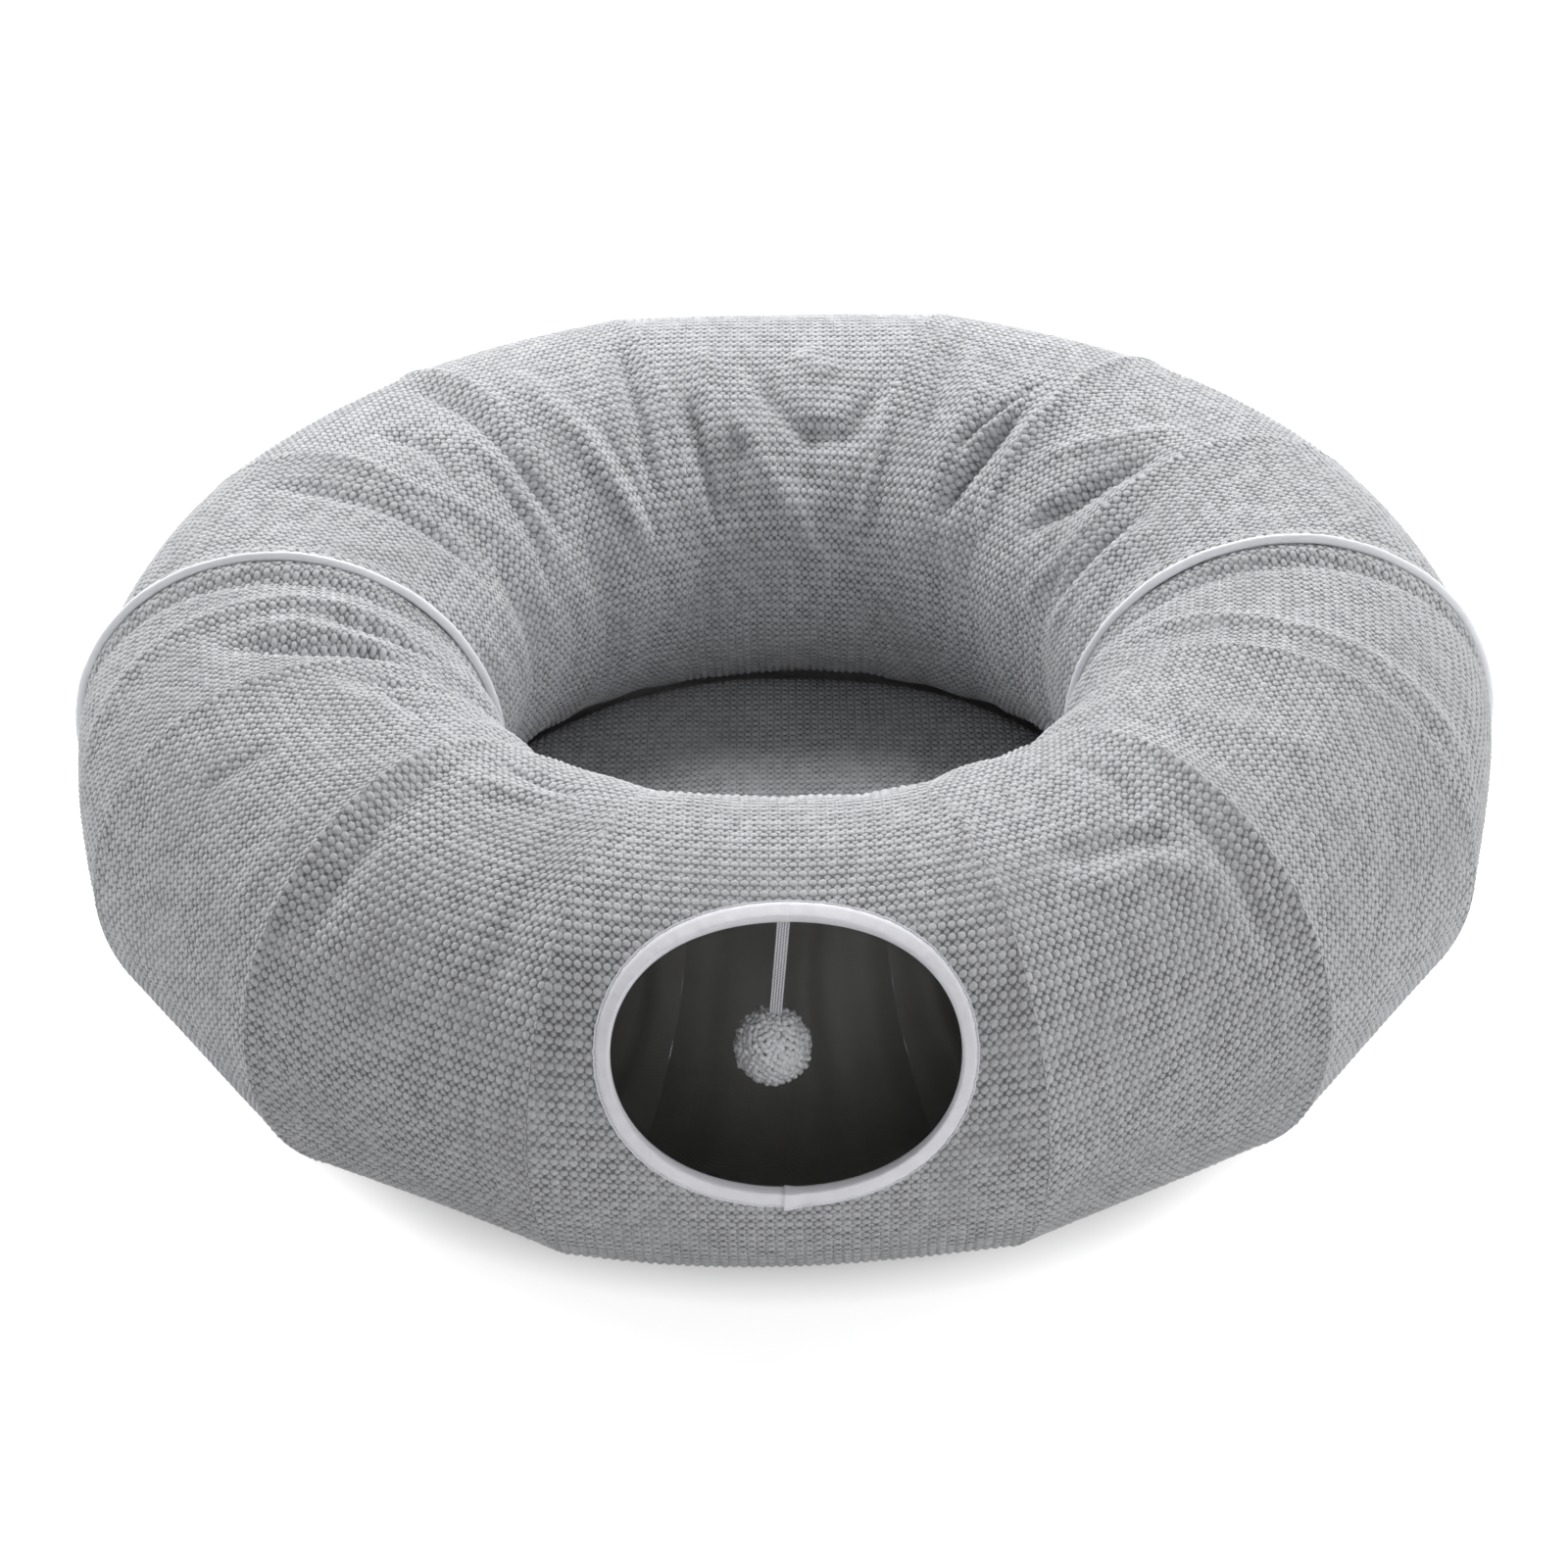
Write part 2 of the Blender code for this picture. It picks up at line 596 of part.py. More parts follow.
def make_slider(name, edge_angle, parent):
    """A zip slider: two plates on one post, and a bail for the pull tab."""
    place = zip_frame(edge_angle, SLIDER_REST)
    half = SLIDER_LENGTH / 2
    wide, post = SLIDER_HALF_WIDTH, SLIDER_POST_HALF
    outline = ((-wide, SLIDER_INNER_LOW), (wide, SLIDER_INNER_LOW), (wide, SLIDER_INNER_HIGH),
               (post, SLIDER_INNER_HIGH), (post, SLIDER_OUTER_LOW), (wide, SLIDER_OUTER_LOW),
               (wide, SLIDER_OUTER_HIGH), (-wide, SLIDER_OUTER_HIGH), (-wide, SLIDER_OUTER_LOW),
               (-post, SLIDER_OUTER_LOW), (-post, SLIDER_INNER_HIGH), (-wide, SLIDER_INNER_HIGH))
    corners, faces = prism(outline, -half, half, lambda across, along, radius: place(along, across, radius))
    slider = make_object(name, corners, faces, SLIDER_METAL, parent)
    reach, foot = BAIL_HALF_LENGTH, BAIL_HALF_LENGTH - BAIL_POST
    top = SLIDER_INNER_LOW + GAP
    bail = ((-reach, top), (-reach, BAIL_LOW), (reach, BAIL_LOW), (reach, top), (foot, top),
            (foot, BAIL_LOW + BAIL_BRIDGE), (-foot, BAIL_LOW + BAIL_BRIDGE), (-foot, top))
    corners, faces = prism(bail, -BAIL_HALF_WIDTH, BAIL_HALF_WIDTH, place)
    union_with(slider, corners, faces)
    return slider


def make_pull_tab(name, edge_angle, parent):
    """A flat pull tab with an eye whose bar turns under the slider's bail."""
    place = zip_frame(edge_angle, SLIDER_REST)
    bar = TAB_BAR_RADIUS
    low, high = TAB_PIVOT - bar, TAB_PIVOT + bar
    eye, wide = TAB_EYE_HALF, TAB_HALF_WIDTH
    outline = ((-bar, -wide), (-bar, wide), (TAB_LENGTH - bar, wide), (TAB_LENGTH, wide - bar),
               (TAB_LENGTH, bar - wide), (TAB_LENGTH - bar, -wide))
    corners = []
    for radius in (low, high):
        corners += [place(along, across, radius) for along, across in outline]
        corners += [place(along, across, radius) for along, across in
                    ((bar, -eye), (bar, eye), (TAB_EYE_LENGTH, eye), (TAB_EYE_LENGTH, -eye))]
    ring = 10
    faces = []
    for level, flip in ((0, False), (ring, True)):
        flat = [(0, 1, 7, 6), (1, 2, 8, 7), (2, 3, 4, 5, 9, 8), (5, 0, 6, 9)]
        faces += [tuple(level + place_number for place_number in (face[::-1] if flip else face)) for face in flat]
    faces += [(step, (step + 1) % 6, (step + 1) % 6 + ring, step + ring) for step in range(6)]
    faces += [(6 + step, 6 + (step + 1) % 4, 6 + (step + 1) % 4 + ring, 6 + step + ring) for step in range(4)]
    return make_object(name, corners, faces, SLIDER_METAL, parent)


def elastic_places():
    """The elastic's pivot under the porthole's upper edge, its lower end, and the pompom's centre."""
    start, end = hoop_plane(FRONT, HOOP_ANGLES[PORTHOLE_BAY]), hoop_plane(FRONT, HOOP_ANGLES[PORTHOLE_BAY + 1])
    pivot = bay_point(start, end, PORTHOLE_BULGE, 0.5, ELASTIC_ANGLE, PINCH_RADIUS - ELASTIC_DROP - ELASTIC_WIDTH / 2)
    lean = math.radians(ELASTIC_LEAN)
    down = Vector((-math.sin(lean), 0, -math.cos(lean)))
    lower = pivot + down * ELASTIC_LENGTH
    return pivot, lower, down


def make_elastic(name, parent):
    """A flat woven elastic strip with a rounded upper end round its pivot."""
    pivot, lower, down = elastic_places()
    sideways = Vector((-down.z, 0, down.x))
    half = ELASTIC_WIDTH / 2
    outline = []
    for step in range(ELASTIC_END_STEPS + 1):
        turn = math.pi * step / ELASTIC_END_STEPS
        outline.append(pivot + sideways * (half * math.cos(turn)) - down * (half * math.sin(turn)))
    outline += [lower - sideways * half, lower + sideways * half]
    thick = Vector((0, ELASTIC_THICKNESS / 2, 0))
    corners = [point - thick for point in outline] + [point + thick for point in outline]
    count = len(outline)
    faces = [tuple(range(count)), tuple(range(count, 2 * count))[::-1]]
    faces += [(step, step + count, (step + 1) % count + count, (step + 1) % count) for step in range(count)]
    return make_object(name, corners, faces, ELASTIC_WHITE, parent)


def make_pompom(name, parent):
    """The pompom as one closed ball below the elastic."""
    pivot, lower, down = elastic_places()
    centre = lower + down * (POMPOM_RADIUS + POMPOM_CROWN_GAP)
    shape = bmesh.new()
    bmesh.ops.create_icosphere(shape, subdivisions=3, radius=POMPOM_RADIUS)
    corners = [centre + corner.co for corner in shape.verts]
    faces = [tuple(corner.index for corner in face.verts) for face in shape.faces]
    shape.free()
    return make_object(name, corners, faces, YARN_GREY, parent)


def turned_solid(name, profile, look, parent):
    """A closed solid turned round Z from (radius, height) pairs whose first and last points are on the axis."""
    corners = [Vector((0, 0, profile[0][1])), Vector((0, 0, profile[-1][1]))]
    middle = profile[1:-1]
    for step in range(MAT_STEPS):
        turn = 2 * math.pi * step / MAT_STEPS
        corners += [Vector((radius * math.cos(turn), radius * math.sin(turn), height)) for radius, height in middle]
    count = len(middle)
    faces = []
    for step in range(MAT_STEPS):
        here, there = 2 + step * count, 2 + (step + 1) % MAT_STEPS * count
        faces.append((0, here, there))
        faces += [(here + place, here + place + 1, there + place + 1, there + place) for place in range(count - 1)]
        faces.append((here + count - 1, 1, there + count - 1))
    return make_object(name, corners, faces, look, parent)


def well_radius(height):
    """How far the tube's wall stands from the middle of the well at a height, half way between two hoops."""
    half_bay = math.radians(HOOP_ANGLES[1] - HOOP_ANGLES[0]) / 2
    reach = math.sqrt(TUBE_RADIUS ** 2 - (AXIS_HEIGHT - height) ** 2)
    return (RING_RADIUS - reach) * math.cos(half_bay)


def mat_profile():
    """The mat's outside as (radius, height) pairs, from the middle of its top to the lip underneath."""
    edge = [(well_radius(height) - clearance, height) for height, clearance in MAT_EDGE]
    crown = (edge[0][0] * MAT_CROWN_SHARE, MAT_CROWN_HEIGHT)
    return [(0.0, MAT_TOP), crown] + edge + [(edge[-1][0] - MAT_LIP_WIDTH, MAT_LIP_HEIGHT)]


def inset_profile(outside, distance):
    """The mat's outside profile moved inwards by a distance."""
    inside = []
    for place, (radius, height) in enumerate(outside[:-1]):
        before, after = outside[max(place - 1, 0)], outside[place + 1]
        along = Vector((after[0] - before[0], after[1] - before[1])).normalized()
        inside.append((max(radius + along.y * distance, 0.0), height - along.x * distance))
    return [pair for pair in inside if pair[1] > MAT_BASE_HIGH + MAT_LIP_THICKNESS / 2]


def make_mat(parent):
    """The round mat: a cover that folds under, its filling and a thin base."""
    outside = mat_profile()
    lip_radius = outside[-1][0]
    lip_top = MAT_LIP_HEIGHT + MAT_LIP_THICKNESS
    inside = inset_profile(outside, MAT_COVER_THICKNESS)
    cover = outside + [(lip_radius, lip_top)] + inside[::-1]
    turned_solid("mat_cover", cover, CLOTH_GREY, parent)
    filling = inset_profile(outside, MAT_COVER_THICKNESS + GAP)
    floor_height = lip_top + GAP
    filling = filling + [(lip_radius - GAP, floor_height), (0.0, floor_height)]
    turned_solid("mat_filling", filling, FILLING_WHITE, parent)
    base_radius = lip_radius - GAP
    base = [(0.0, MAT_BASE_HIGH), (base_radius, MAT_BASE_HIGH), (base_radius, MAT_BASE_LOW), (0.0, MAT_BASE_LOW)]
    turned_solid("mat_base", base, BASE_BLACK, parent)


def fold_chain(side, root):
    """Empties on the ring's upright axis, one for each hoop body from the left end to the right end."""
    chain = [root]
    for number in range(1, len(HOOP_ANGLES) + 1):
        chain.append(make_empty(f"fold_{SIDE_NAMES[side]}_{number}", (0, 0, 0), chain[-1]))
    return chain


def main():
    clear_scene()
    root = make_empty("left_joint", (0, 0, 0))
    chains = {side: fold_chain(side, root) for side in (FRONT, REAR)}
    for side, chain in chains.items():
        make_half(side, chain)
    make_piping("piping_left", -90, root)
    make_piping("piping_right", 90, chains[FRONT][-1])
    make_zip("zip_left", -90, (FRONT, REAR), root)
    make_zip("zip_right_front", 90, (FRONT,), chains[FRONT][-1])
    make_zip("zip_right_rear", 90, (REAR,), chains[REAR][-1])
    for word, edge_angle, parent in (("left", -90, root), ("right", 90, chains[FRONT][-1])):
        ring_centre = Vector((math.copysign(RING_RADIUS, edge_angle), 0, AXIS_HEIGHT))
        slide = make_empty(f"slider_path_{word}", ring_centre, parent)
        make_slider(f"slider_{word}", edge_angle, slide)
        turn = make_empty(f"tab_pivot_{word}", zip_frame(edge_angle, SLIDER_REST)(0, 0, TAB_PIVOT), slide)
        make_pull_tab(f"pull_tab_{word}", edge_angle, turn)
    pivot, lower, _ = elastic_places()
    swing = make_empty("elastic_pivot", pivot, chains[FRONT][4])
    make_elastic("elastic_strap", swing)
    make_pompom("pompom", make_empty("pompom_pivot", lower, swing))
    make_mat(make_empty("mat_place", (0, 0, 0), root))


main()
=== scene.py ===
"""The looks of the donut cat tunnel: bobble cloth over spring hoops, satin piping, bound portholes, pompom and mat.

Every length is in metres, Z is up, the front faces -Y. Angles round the section are measured from level, outwards.
"""
import math
from functools import partial
from itertools import combinations

import bpy
import numpy as np
from bpy.props import FloatProperty, FloatVectorProperty, IntProperty, PointerProperty
from bpy.types import Node, NodeSocket, Operator, Panel, PropertyGroup
from mathutils import Matrix, Vector


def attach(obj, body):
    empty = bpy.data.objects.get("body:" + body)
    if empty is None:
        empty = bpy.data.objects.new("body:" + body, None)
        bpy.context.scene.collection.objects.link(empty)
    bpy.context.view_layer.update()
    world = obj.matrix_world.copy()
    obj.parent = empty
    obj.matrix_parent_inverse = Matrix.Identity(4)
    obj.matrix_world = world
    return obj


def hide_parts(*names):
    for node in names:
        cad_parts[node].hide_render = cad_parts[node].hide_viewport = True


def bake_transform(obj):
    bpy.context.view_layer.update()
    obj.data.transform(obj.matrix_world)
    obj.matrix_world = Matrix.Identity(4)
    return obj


bl_info = {
    "name": "Donut cat tunnel",
    "version": (1, 0, 0),
    "blender": (4, 5, 0),
    "location": "3D View > Sidebar > Cat tunnel",
    "description": "Bobble cloth, piping, portholes, pompom and mat of a ring-shaped cat tunnel",
    "category": "Object",
}

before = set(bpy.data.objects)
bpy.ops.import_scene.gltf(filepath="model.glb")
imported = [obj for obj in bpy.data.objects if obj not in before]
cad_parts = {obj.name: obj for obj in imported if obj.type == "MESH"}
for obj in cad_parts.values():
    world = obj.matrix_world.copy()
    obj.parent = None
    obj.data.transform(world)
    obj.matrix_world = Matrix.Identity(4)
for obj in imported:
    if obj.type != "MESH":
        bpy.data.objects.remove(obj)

# The ring, as the solids have it.
TUBE_RADIUS = 0.1475
RING_RADIUS = 0.3525
AXIS_HEIGHT = TUBE_RADIUS
GAP = 0.0003
HOOP_ANGLES = (-90, -66, -42, -18, 18, 42, 66, 90)
LAST_BAY = len(HOOP_ANGLES) - 2
PORTHOLE_BAY = 3
END_HOOP_OFFSET = 0.012
CLOTH_SAG = 0.003
BAY_BULGE = 0.15
PORTHOLE_BULGE = 0.6
SECTION_LENGTH = 2 * math.pi * TUBE_RADIUS
FRONT, REAR = 1, -1
SIDE_NAMES = {FRONT: "front", REAR: "rear"}
EDGE_NAMES = {-1: "left", 1: "right"}

# Cloth layers, as radii from the tube's centre line.
WIRE_COVER, WIRE_SPREAD = 0.1450, 0.0035
PINCH_RADIUS = 0.1420
LINING_INNER = 0.1392

# How far the lining stops short of the joint, and how far its bays lap over each other.
LINING_END = 0.0068
LINING_LAP = 0.001

# How far the lining stays inside the cover, and how far its edge lies in from the pinched edge of the porthole.
LINING_ROOM = 0.0040
SEWN_DEPTH = 0.0013

# Porthole and its binding. The cuts of cover and lining lie at shares of the binding's width, and its outline is given
# in shares of its width and of half its thickness.
PORTHOLE_ANGLE = 30.0
PORTHOLE_HALF_WIDTH = 0.1055
PORTHOLE_HALF_HEIGHT = 0.0950
BINDING_WIDTH = 0.008
COVER_CUT, LINING_CUT = 0.35, 0.1
BINDING_TOP = PINCH_RADIUS + 0.0035 + GAP + 0.001
BINDING_BOTTOM = PINCH_RADIUS - 0.001 - 2 * GAP - 0.001
BINDING_STEPS = 281
BINDING_OUTLINE = ((1.0, 0.35), (1.0, 0.72), (0.97, 0.92), (0.91, 0.94), (0.87, 0.76), (0.82, 0.76), (0.77, 0.96),
                   (0.45, 1.0), (0.2, 0.99), (0.0, 1.02), (-0.10, 0.97), (-0.15, 0.72), (-0.16, 0.2), (-0.15, -0.5),
                   (-0.06, -0.95), (0.1, -1.0), (0.5, -1.0), (0.9, -0.95), (1.0, -0.5))

# Joint between the halves: the front half's piping, stretched outwards, and the rear half's hem with a groove by it.
PIPING_RADIUS = 0.0025
PIPING_CENTRE = TUBE_RADIUS + 0.0017
PIPING_STRETCH = 1.6
HEM_WIDTH = 0.008
HEM_RISE = 0.0022
GROOVE_OFFSET = 0.0015
GROOVE_DEPTH, GROOVE_SPREAD = 0.0022, 0.0022

# Zip: where it runs round the section, in degrees, then lengths.
ZIP_START, ZIP_END = -72.0, 252.0
ZIP_RADIUS = 0.14105
TAPE_SPAN, TAPE_HALF_THICK = (0.0012, 0.0095), 0.0002
COIL_SPAN, COIL_HALF_THICK, TOOTH_PITCH = (0.0007, 0.0025), 0.0008, 0.0020
TAPE_STEPS, COIL_STEPS = 200, 1200

# Elastic and pompom.
ELASTIC_ANGLE = 68.6
ELASTIC_DROP = 0.0029
ELASTIC_WIDTH = 0.008
ELASTIC_LENGTH = 0.074
ELASTIC_LEAN = 5.0
ELASTIC_RIBS = 5
POMPOM_RADIUS = 0.024
POMPOM_CROWN_GAP = 0.0004
YARN_RADIUS = 0.0019

# Mat outline as (radius, height) pairs from the middle of the top to the lip underneath.
MAT_PROFILE = ((0.0, 0.0330), (0.120, 0.0325), (0.215, 0.0305), (0.2450, 0.0292), (0.2595, 0.0268), (0.2680, 0.0215),
               (0.2715, 0.0150), (0.2700, 0.0085), (0.2640, 0.0040), (0.2500, 0.0016), (0.2360, 0.0010))
MAT_BASE_RADIUS = MAT_PROFILE[-1][0]

# How the cloth's rows bow between hoops, as lengths at the hoops, and how they tilt, as slopes, by bay.
ROW_BOW = {FRONT: (0.003, 0.006, 0.008, 0.003, 0.008, 0.005, 0.003),
           REAR: (0.002, 0.003, 0.004, 0.004, 0.004, 0.003, 0.002)}
ROW_TILT = {FRONT: (-0.10, -0.15, -0.07, 0.0, 0.09, 0.18, 0.10),
            REAR: (0.05, 0.03, 0.03, 0.0, -0.03, -0.03, -0.05)}

# How loose cloth fills out between hoops: bells of a length outwards, a section angle and a half width in degrees.
# The first of a bay's bells is the outer belly, whose length goes by the bay's distance from the porthole bay.
PORTHOLE_BELLS = ((0.0030, -50, 25), (0.0085, 160, 32), (-0.0020, 100, 20))
BELLY_LENGTHS = {FRONT: (0.0095, 0.0015, 0.0030), REAR: (0.0090, 0.0090, 0.0090)}
BELLY_BELL = (35, 42)
BAY_BELLS = ((0.0015, -30, 30), (0.0085, 160, 32), (-0.0040, 88, 22))

# The cloth's dip beside the joint: its depth in each half, its distance from the end hoop and its spread.
JOINT_DIP = {FRONT: 0.0058, REAR: 0.0015}
JOINT_DIP_PLACE, JOINT_DIP_SPREAD = 0.012, 0.0095

# How far the cloth stands up over each hoop.
HOOP_RIDGE = (0.0016, 0.0010, 0.0022, 0.0003, 0.0003, 0.0022, 0.0010, 0.0016)
RIDGE_SPREAD = 0.0060

# Soft folds: half width, depth (minus goes in), then the places they pass, as turn round the ring and section angle
# in degrees. They fade out over a share of their length at both ends, and count for so many degrees beyond it.
FOLD_FADE = 0.28
FOLD_REACH = (12, 20)
FOLDS = (
    (0.008, -0.0090, (-160, 84), (-158.5, 104), (-157, 124), (-154, 154)),
    (0.005, -0.0070, (-165.5, 114), (-165.5, 141), (-167, 166)),
    (0.005, 0.0025, (-162, 104), (-162, 138), (-161, 166)),
    (0.008, 0.0040, (-170, 92), (-169, 118), (-169, 146)),
    (0.011, -0.0080, (-174, 100), (-179, 123), (176, 134), (168, 134), (163, 108)),
    (0.009, 0.0060, (-170, 116), (-178, 146), (168, 178)),
    (0.012, -0.0060, (-172, 130), (-170, 164)),
    (0.013, 0.0050, (178, 100), (172, 114)),
    (0.014, -0.0045, (175, 126), (175, 154)),
    (0.006, 0.0035, (162, 106), (162, 138), (164, 172)),
    (0.010, -0.0055, (157.5, 86), (156, 108), (153.5, 132)),
    (0.007, 0.0045, (150, 100), (149.5, 126), (149.5, 150)),
    (0.005, -0.0065, (141, 94), (144.5, 114), (149, 136)),
    (0.005, 0.0035, (140.5, 98), (143.5, 116), (147, 134)),
    (0.0065, -0.0105, (141, 110), (143, 132), (147, 156)),
    (0.007, 0.0040, (137.5, 98), (138, 128), (138, 160)),
    (0.010, -0.0120, (117.5, 100), (119, 118), (122, 134), (128, 152)),
    (0.009, 0.0050, (119, 90), (126, 112), (135, 132)),
    (0.008, 0.0040, (113.5, 106), (114, 130), (116, 148), (121, 170)),
    (0.006, -0.0070, (108, 118), (109.5, 145), (112, 166)),
    (0.008, 0.0045, (102, 116), (105, 146), (109, 172)),
    (0.009, -0.0100, (-134.5, 60), (-134.5, 92), (-133.5, 121), (-133, 137), (-133, 160)),
    (0.010, 0.0060, (-143, 78), (-145, 112), (-147, 140), (-151, 168)),
    (0.006, -0.0045, (-149.5, 116), (-151, 140), (-154, 166)),
    (0.008, -0.0070, (-107.5, 66), (-108, 96), (-109, 130), (-110, 156)),
    (0.010, 0.0045, (-113.5, 78), (-114, 112), (-118, 129), (-124, 154)),
    (0.009, -0.0060, (-122, 84), (-124, 106), (-120, 126)),
    (0.007, -0.0045, (-128, 116), (-126, 142), (-124, 168)),
    (0.008, 0.0035, (-129, 96), (-129, 125), (-130, 160)),
    (0.009, 0.0052, (-74, 8), (-76, 34), (-79, 60), (-80.5, 80), (-81, 96), (-80, 110), (-77, 128), (-73, 148)),
    (0.009, 0.0052, (68, 8), (69, 34), (70, 60), (71.5, 80), (72.5, 96), (73.5, 112), (75, 130), (77, 150)),
    (0.007, 0.0048, (-77, 78), (-76, 95), (-73, 108), (-69.5, 128)),
    (0.0095, -0.0100, (-76, 68), (-73.5, 84), (-70.8, 98), (-69.8, 114), (-69.5, 132)),
    (0.005, -0.0045, (-78.5, 100), (-75.5, 120), (-72.5, 140)),
    (0.006, -0.0055, (-62, 100), (-60.5, 122), (-61.5, 148)),
    (0.016, 0.0045, (-64, 94), (-55, 100), (-45, 102)),
    (0.008, -0.0050, (-60, 108), (-53, 112), (-46.5, 112)),
    (0.008, -0.0055, (-39, 110), (-31, 109), (-22, 106)),
    (0.009, 0.0045, (-39, 94), (-31, 98), (-22, 100)),
    (0.010, -0.0055, (-38.5, 30), (-38.5, 60), (-39, 90), (-37, 104)),
    (0.013, 0.0030, (-46, 20), (-46, 55), (-47, 88)),
    (0.008, -0.0035, (-58, 46), (-55.5, 74)),
    (0.010, -0.0040, (38.5, 22), (38.5, 52), (38.5, 80)),
    (0.011, -0.0065, (23, 72), (31, 70), (37, 64)),
    (0.011, 0.0040, (24, 60), (32, 61), (38, 52)),
    (0.010, -0.0040, (35, 106), (36, 86), (33, 72)),
    (0.013, -0.0040, (-23, 96), (-22, 70), (-22, 30)),
    (0.014, 0.0030, (57, 50), (53, 80), (52, 106)),
    (0.012, -0.0040, (47, 60), (47, 86), (49, 114)),
)

# Steps of the cloth's grid to each bobble, and the step over which slopes are measured.
BOBBLE_STEPS = 4
SLOPE_STEP = 0.0004

# Lamps: where each stands, the height over the middle that it is aimed at, and its power in watts.
LAMPS = {
    "light_above": ((0, 1.3, 2.2), 0.10, 40.0),
    "light_behind": ((0, 2.4, 1.2), 0.15, 34.0),
    "light_left": ((-2.25, 0.75, 1.25), 0.15, 37.0),
    "light_right": ((2.3, 0.55, 1.2), 0.15, 27.5),
    "light_front_right": ((1.7, -1.7, 1.2), 0.15, 10.0),
    "light_front": ((0, -2.4, 1.0), 0.15, 6.0),
}
LAMP_SIZE = 1.1
SURROUNDING_LIGHT = 0.2

# The photograph's camera: angles in degrees, distance and aim in metres, lens and sensor in millimetres, and a shift in
# picture widths.
CAMERA_ELEVATION, CAMERA_TURN, CAMERA_ROLL = 33.0, 0.33, -1.16
CAMERA_DISTANCE = 2.30
CAMERA_AIM = (0, 0, 0.15)
CAMERA_LENS = 73.9
CAMERA_SENSOR = 36.0
CAMERA_SHIFT = -0.0381


def linear(hex_colour):
    """An sRGB hex colour as linear red, green and blue."""
    parts = [int(hex_colour[place:place + 2], 16) / 255 for place in (1, 3, 5)]
    return tuple(part / 12.92 if part <= 0.04045 else ((part + 0.055) / 1.055) ** 2.4 for part in parts)


class TunnelSizes(PropertyGroup):
    """Sizes that a user would change."""

    bobble_pitch: FloatProperty(name="Bobble spacing", description="From bobble to bobble along a row",
                                default=0.0058, unit="LENGTH")
    bobble_rows: IntProperty(name="Bobble rows", description="Rows of bobbles round the tube's section", default=118)
    bobble_height: FloatProperty(name="Bobble height", description="How far a bobble stands out",
                                 default=0.0021, unit="LENGTH")
    fold_strength: FloatProperty(name="Fold strength", description="Share of the folds' full depth", default=1.0)
    pompom_tufts: IntProperty(name="Pompom curls", description="Yarn curls on the pompom", default=380)


class TunnelColours(PropertyGroup):
    """Colours that a user would change."""

    cloth: FloatVectorProperty(name="Cloth", description="Light grey bobbles", subtype="COLOR",
                               default=linear("#D0D1D4"))
    # Colour of the creases between the bobbles: painted shade, which turns into the bobbles' colour as the cloth rises.
    cloth_crease_shade: FloatVectorProperty(name="Cloth ground", description="Ground weave between the bobbles", subtype="COLOR",
                                   default=linear("#75767A"))
    # The lining is coloured much lighter than the dark grey cloth it is: painted light that stands in for the light
    # which comes through the cover into the tunnel.
    lining: FloatVectorProperty(name="Lining", description="Dark grey woven lining", subtype="COLOR",
                                default=linear("#A3A2A0"))
    satin: FloatVectorProperty(name="Piping", description="White satin", subtype="COLOR",
                               default=linear("#F8F9FD"))
    cotton: FloatVectorProperty(name="Binding", description="White cotton tape", subtype="COLOR",
                                default=linear("#F5F5FB"))
    # The yarn is coloured near white, lighter than the grey yarn it is: painted light that makes up for the shade the
    # pompom hangs in.
    yarn: FloatVectorProperty(name="Pompom", description="Grey yarn", subtype="COLOR",
                              default=linear("#F0F1F4"))


# Meshes.

def make_piece(name, points, faces, material, smooth=True, attributes=None, places=None, flat_ends=0):
    """One mesh object at the origin from an array of points and one or more arrays of three- or four-sided faces.

    Places, where given, are the UV map: two numbers for each corner of each face. So many of the last faces as
    flat_ends says are shaded flat, as cut ends are."""
    mesh = bpy.data.meshes.new(name)
    groups = [np.asarray(group, np.int64) for group in (faces if isinstance(faces, (list, tuple)) else [faces])]
    groups = [group for group in groups if len(group)]
    corners = np.concatenate([group.ravel() for group in groups])
    sizes = np.concatenate([np.full(len(group), group.shape[1]) for group in groups])
    starts = np.concatenate([[0], np.cumsum(sizes)[:-1]])
    mesh.vertices.add(len(points))
    mesh.vertices.foreach_set("co", np.asarray(points, np.float32).ravel())
    mesh.loops.add(len(corners))
    mesh.loops.foreach_set("vertex_index", corners.astype(np.int32))
    mesh.polygons.add(len(sizes))
    mesh.polygons.foreach_set("loop_start", starts.astype(np.int32))
    mesh.update(calc_edges=True)
    if places is not None:
        layer = mesh.uv_layers.new(name="rows")
        layer.data.foreach_set("uv", np.asarray(places, np.float32).ravel())
    for attribute, values in (attributes or {}).items():
        mesh.attributes.new(attribute, "FLOAT", "POINT").data.foreach_set("value", np.asarray(values, np.float32))
    if smooth:
        mesh.polygons.foreach_set("use_smooth", np.arange(len(sizes)) < len(sizes) - flat_ends)
    piece = bpy.data.objects.new(name, mesh)
    bpy.context.scene.collection.objects.link(piece)
    piece.data.materials.append(material)
    return piece


def grid_faces(rows, columns, close_rows=False, close_columns=False):
    """Four-sided faces of a grid of points stored row after row; a closed side joins the last to the first."""
    row = np.arange(rows if close_rows else rows - 1)
    column = np.arange(columns if close_columns else columns - 1)
    row, column = (part.ravel() for part in np.meshgrid(row, column, indexing="ij"))
    next_row, next_column = (row + 1) % rows, (column + 1) % columns
    return np.stack([row * columns + column, row * columns + next_column,
                     next_row * columns + next_column, next_row * columns + column], 1)


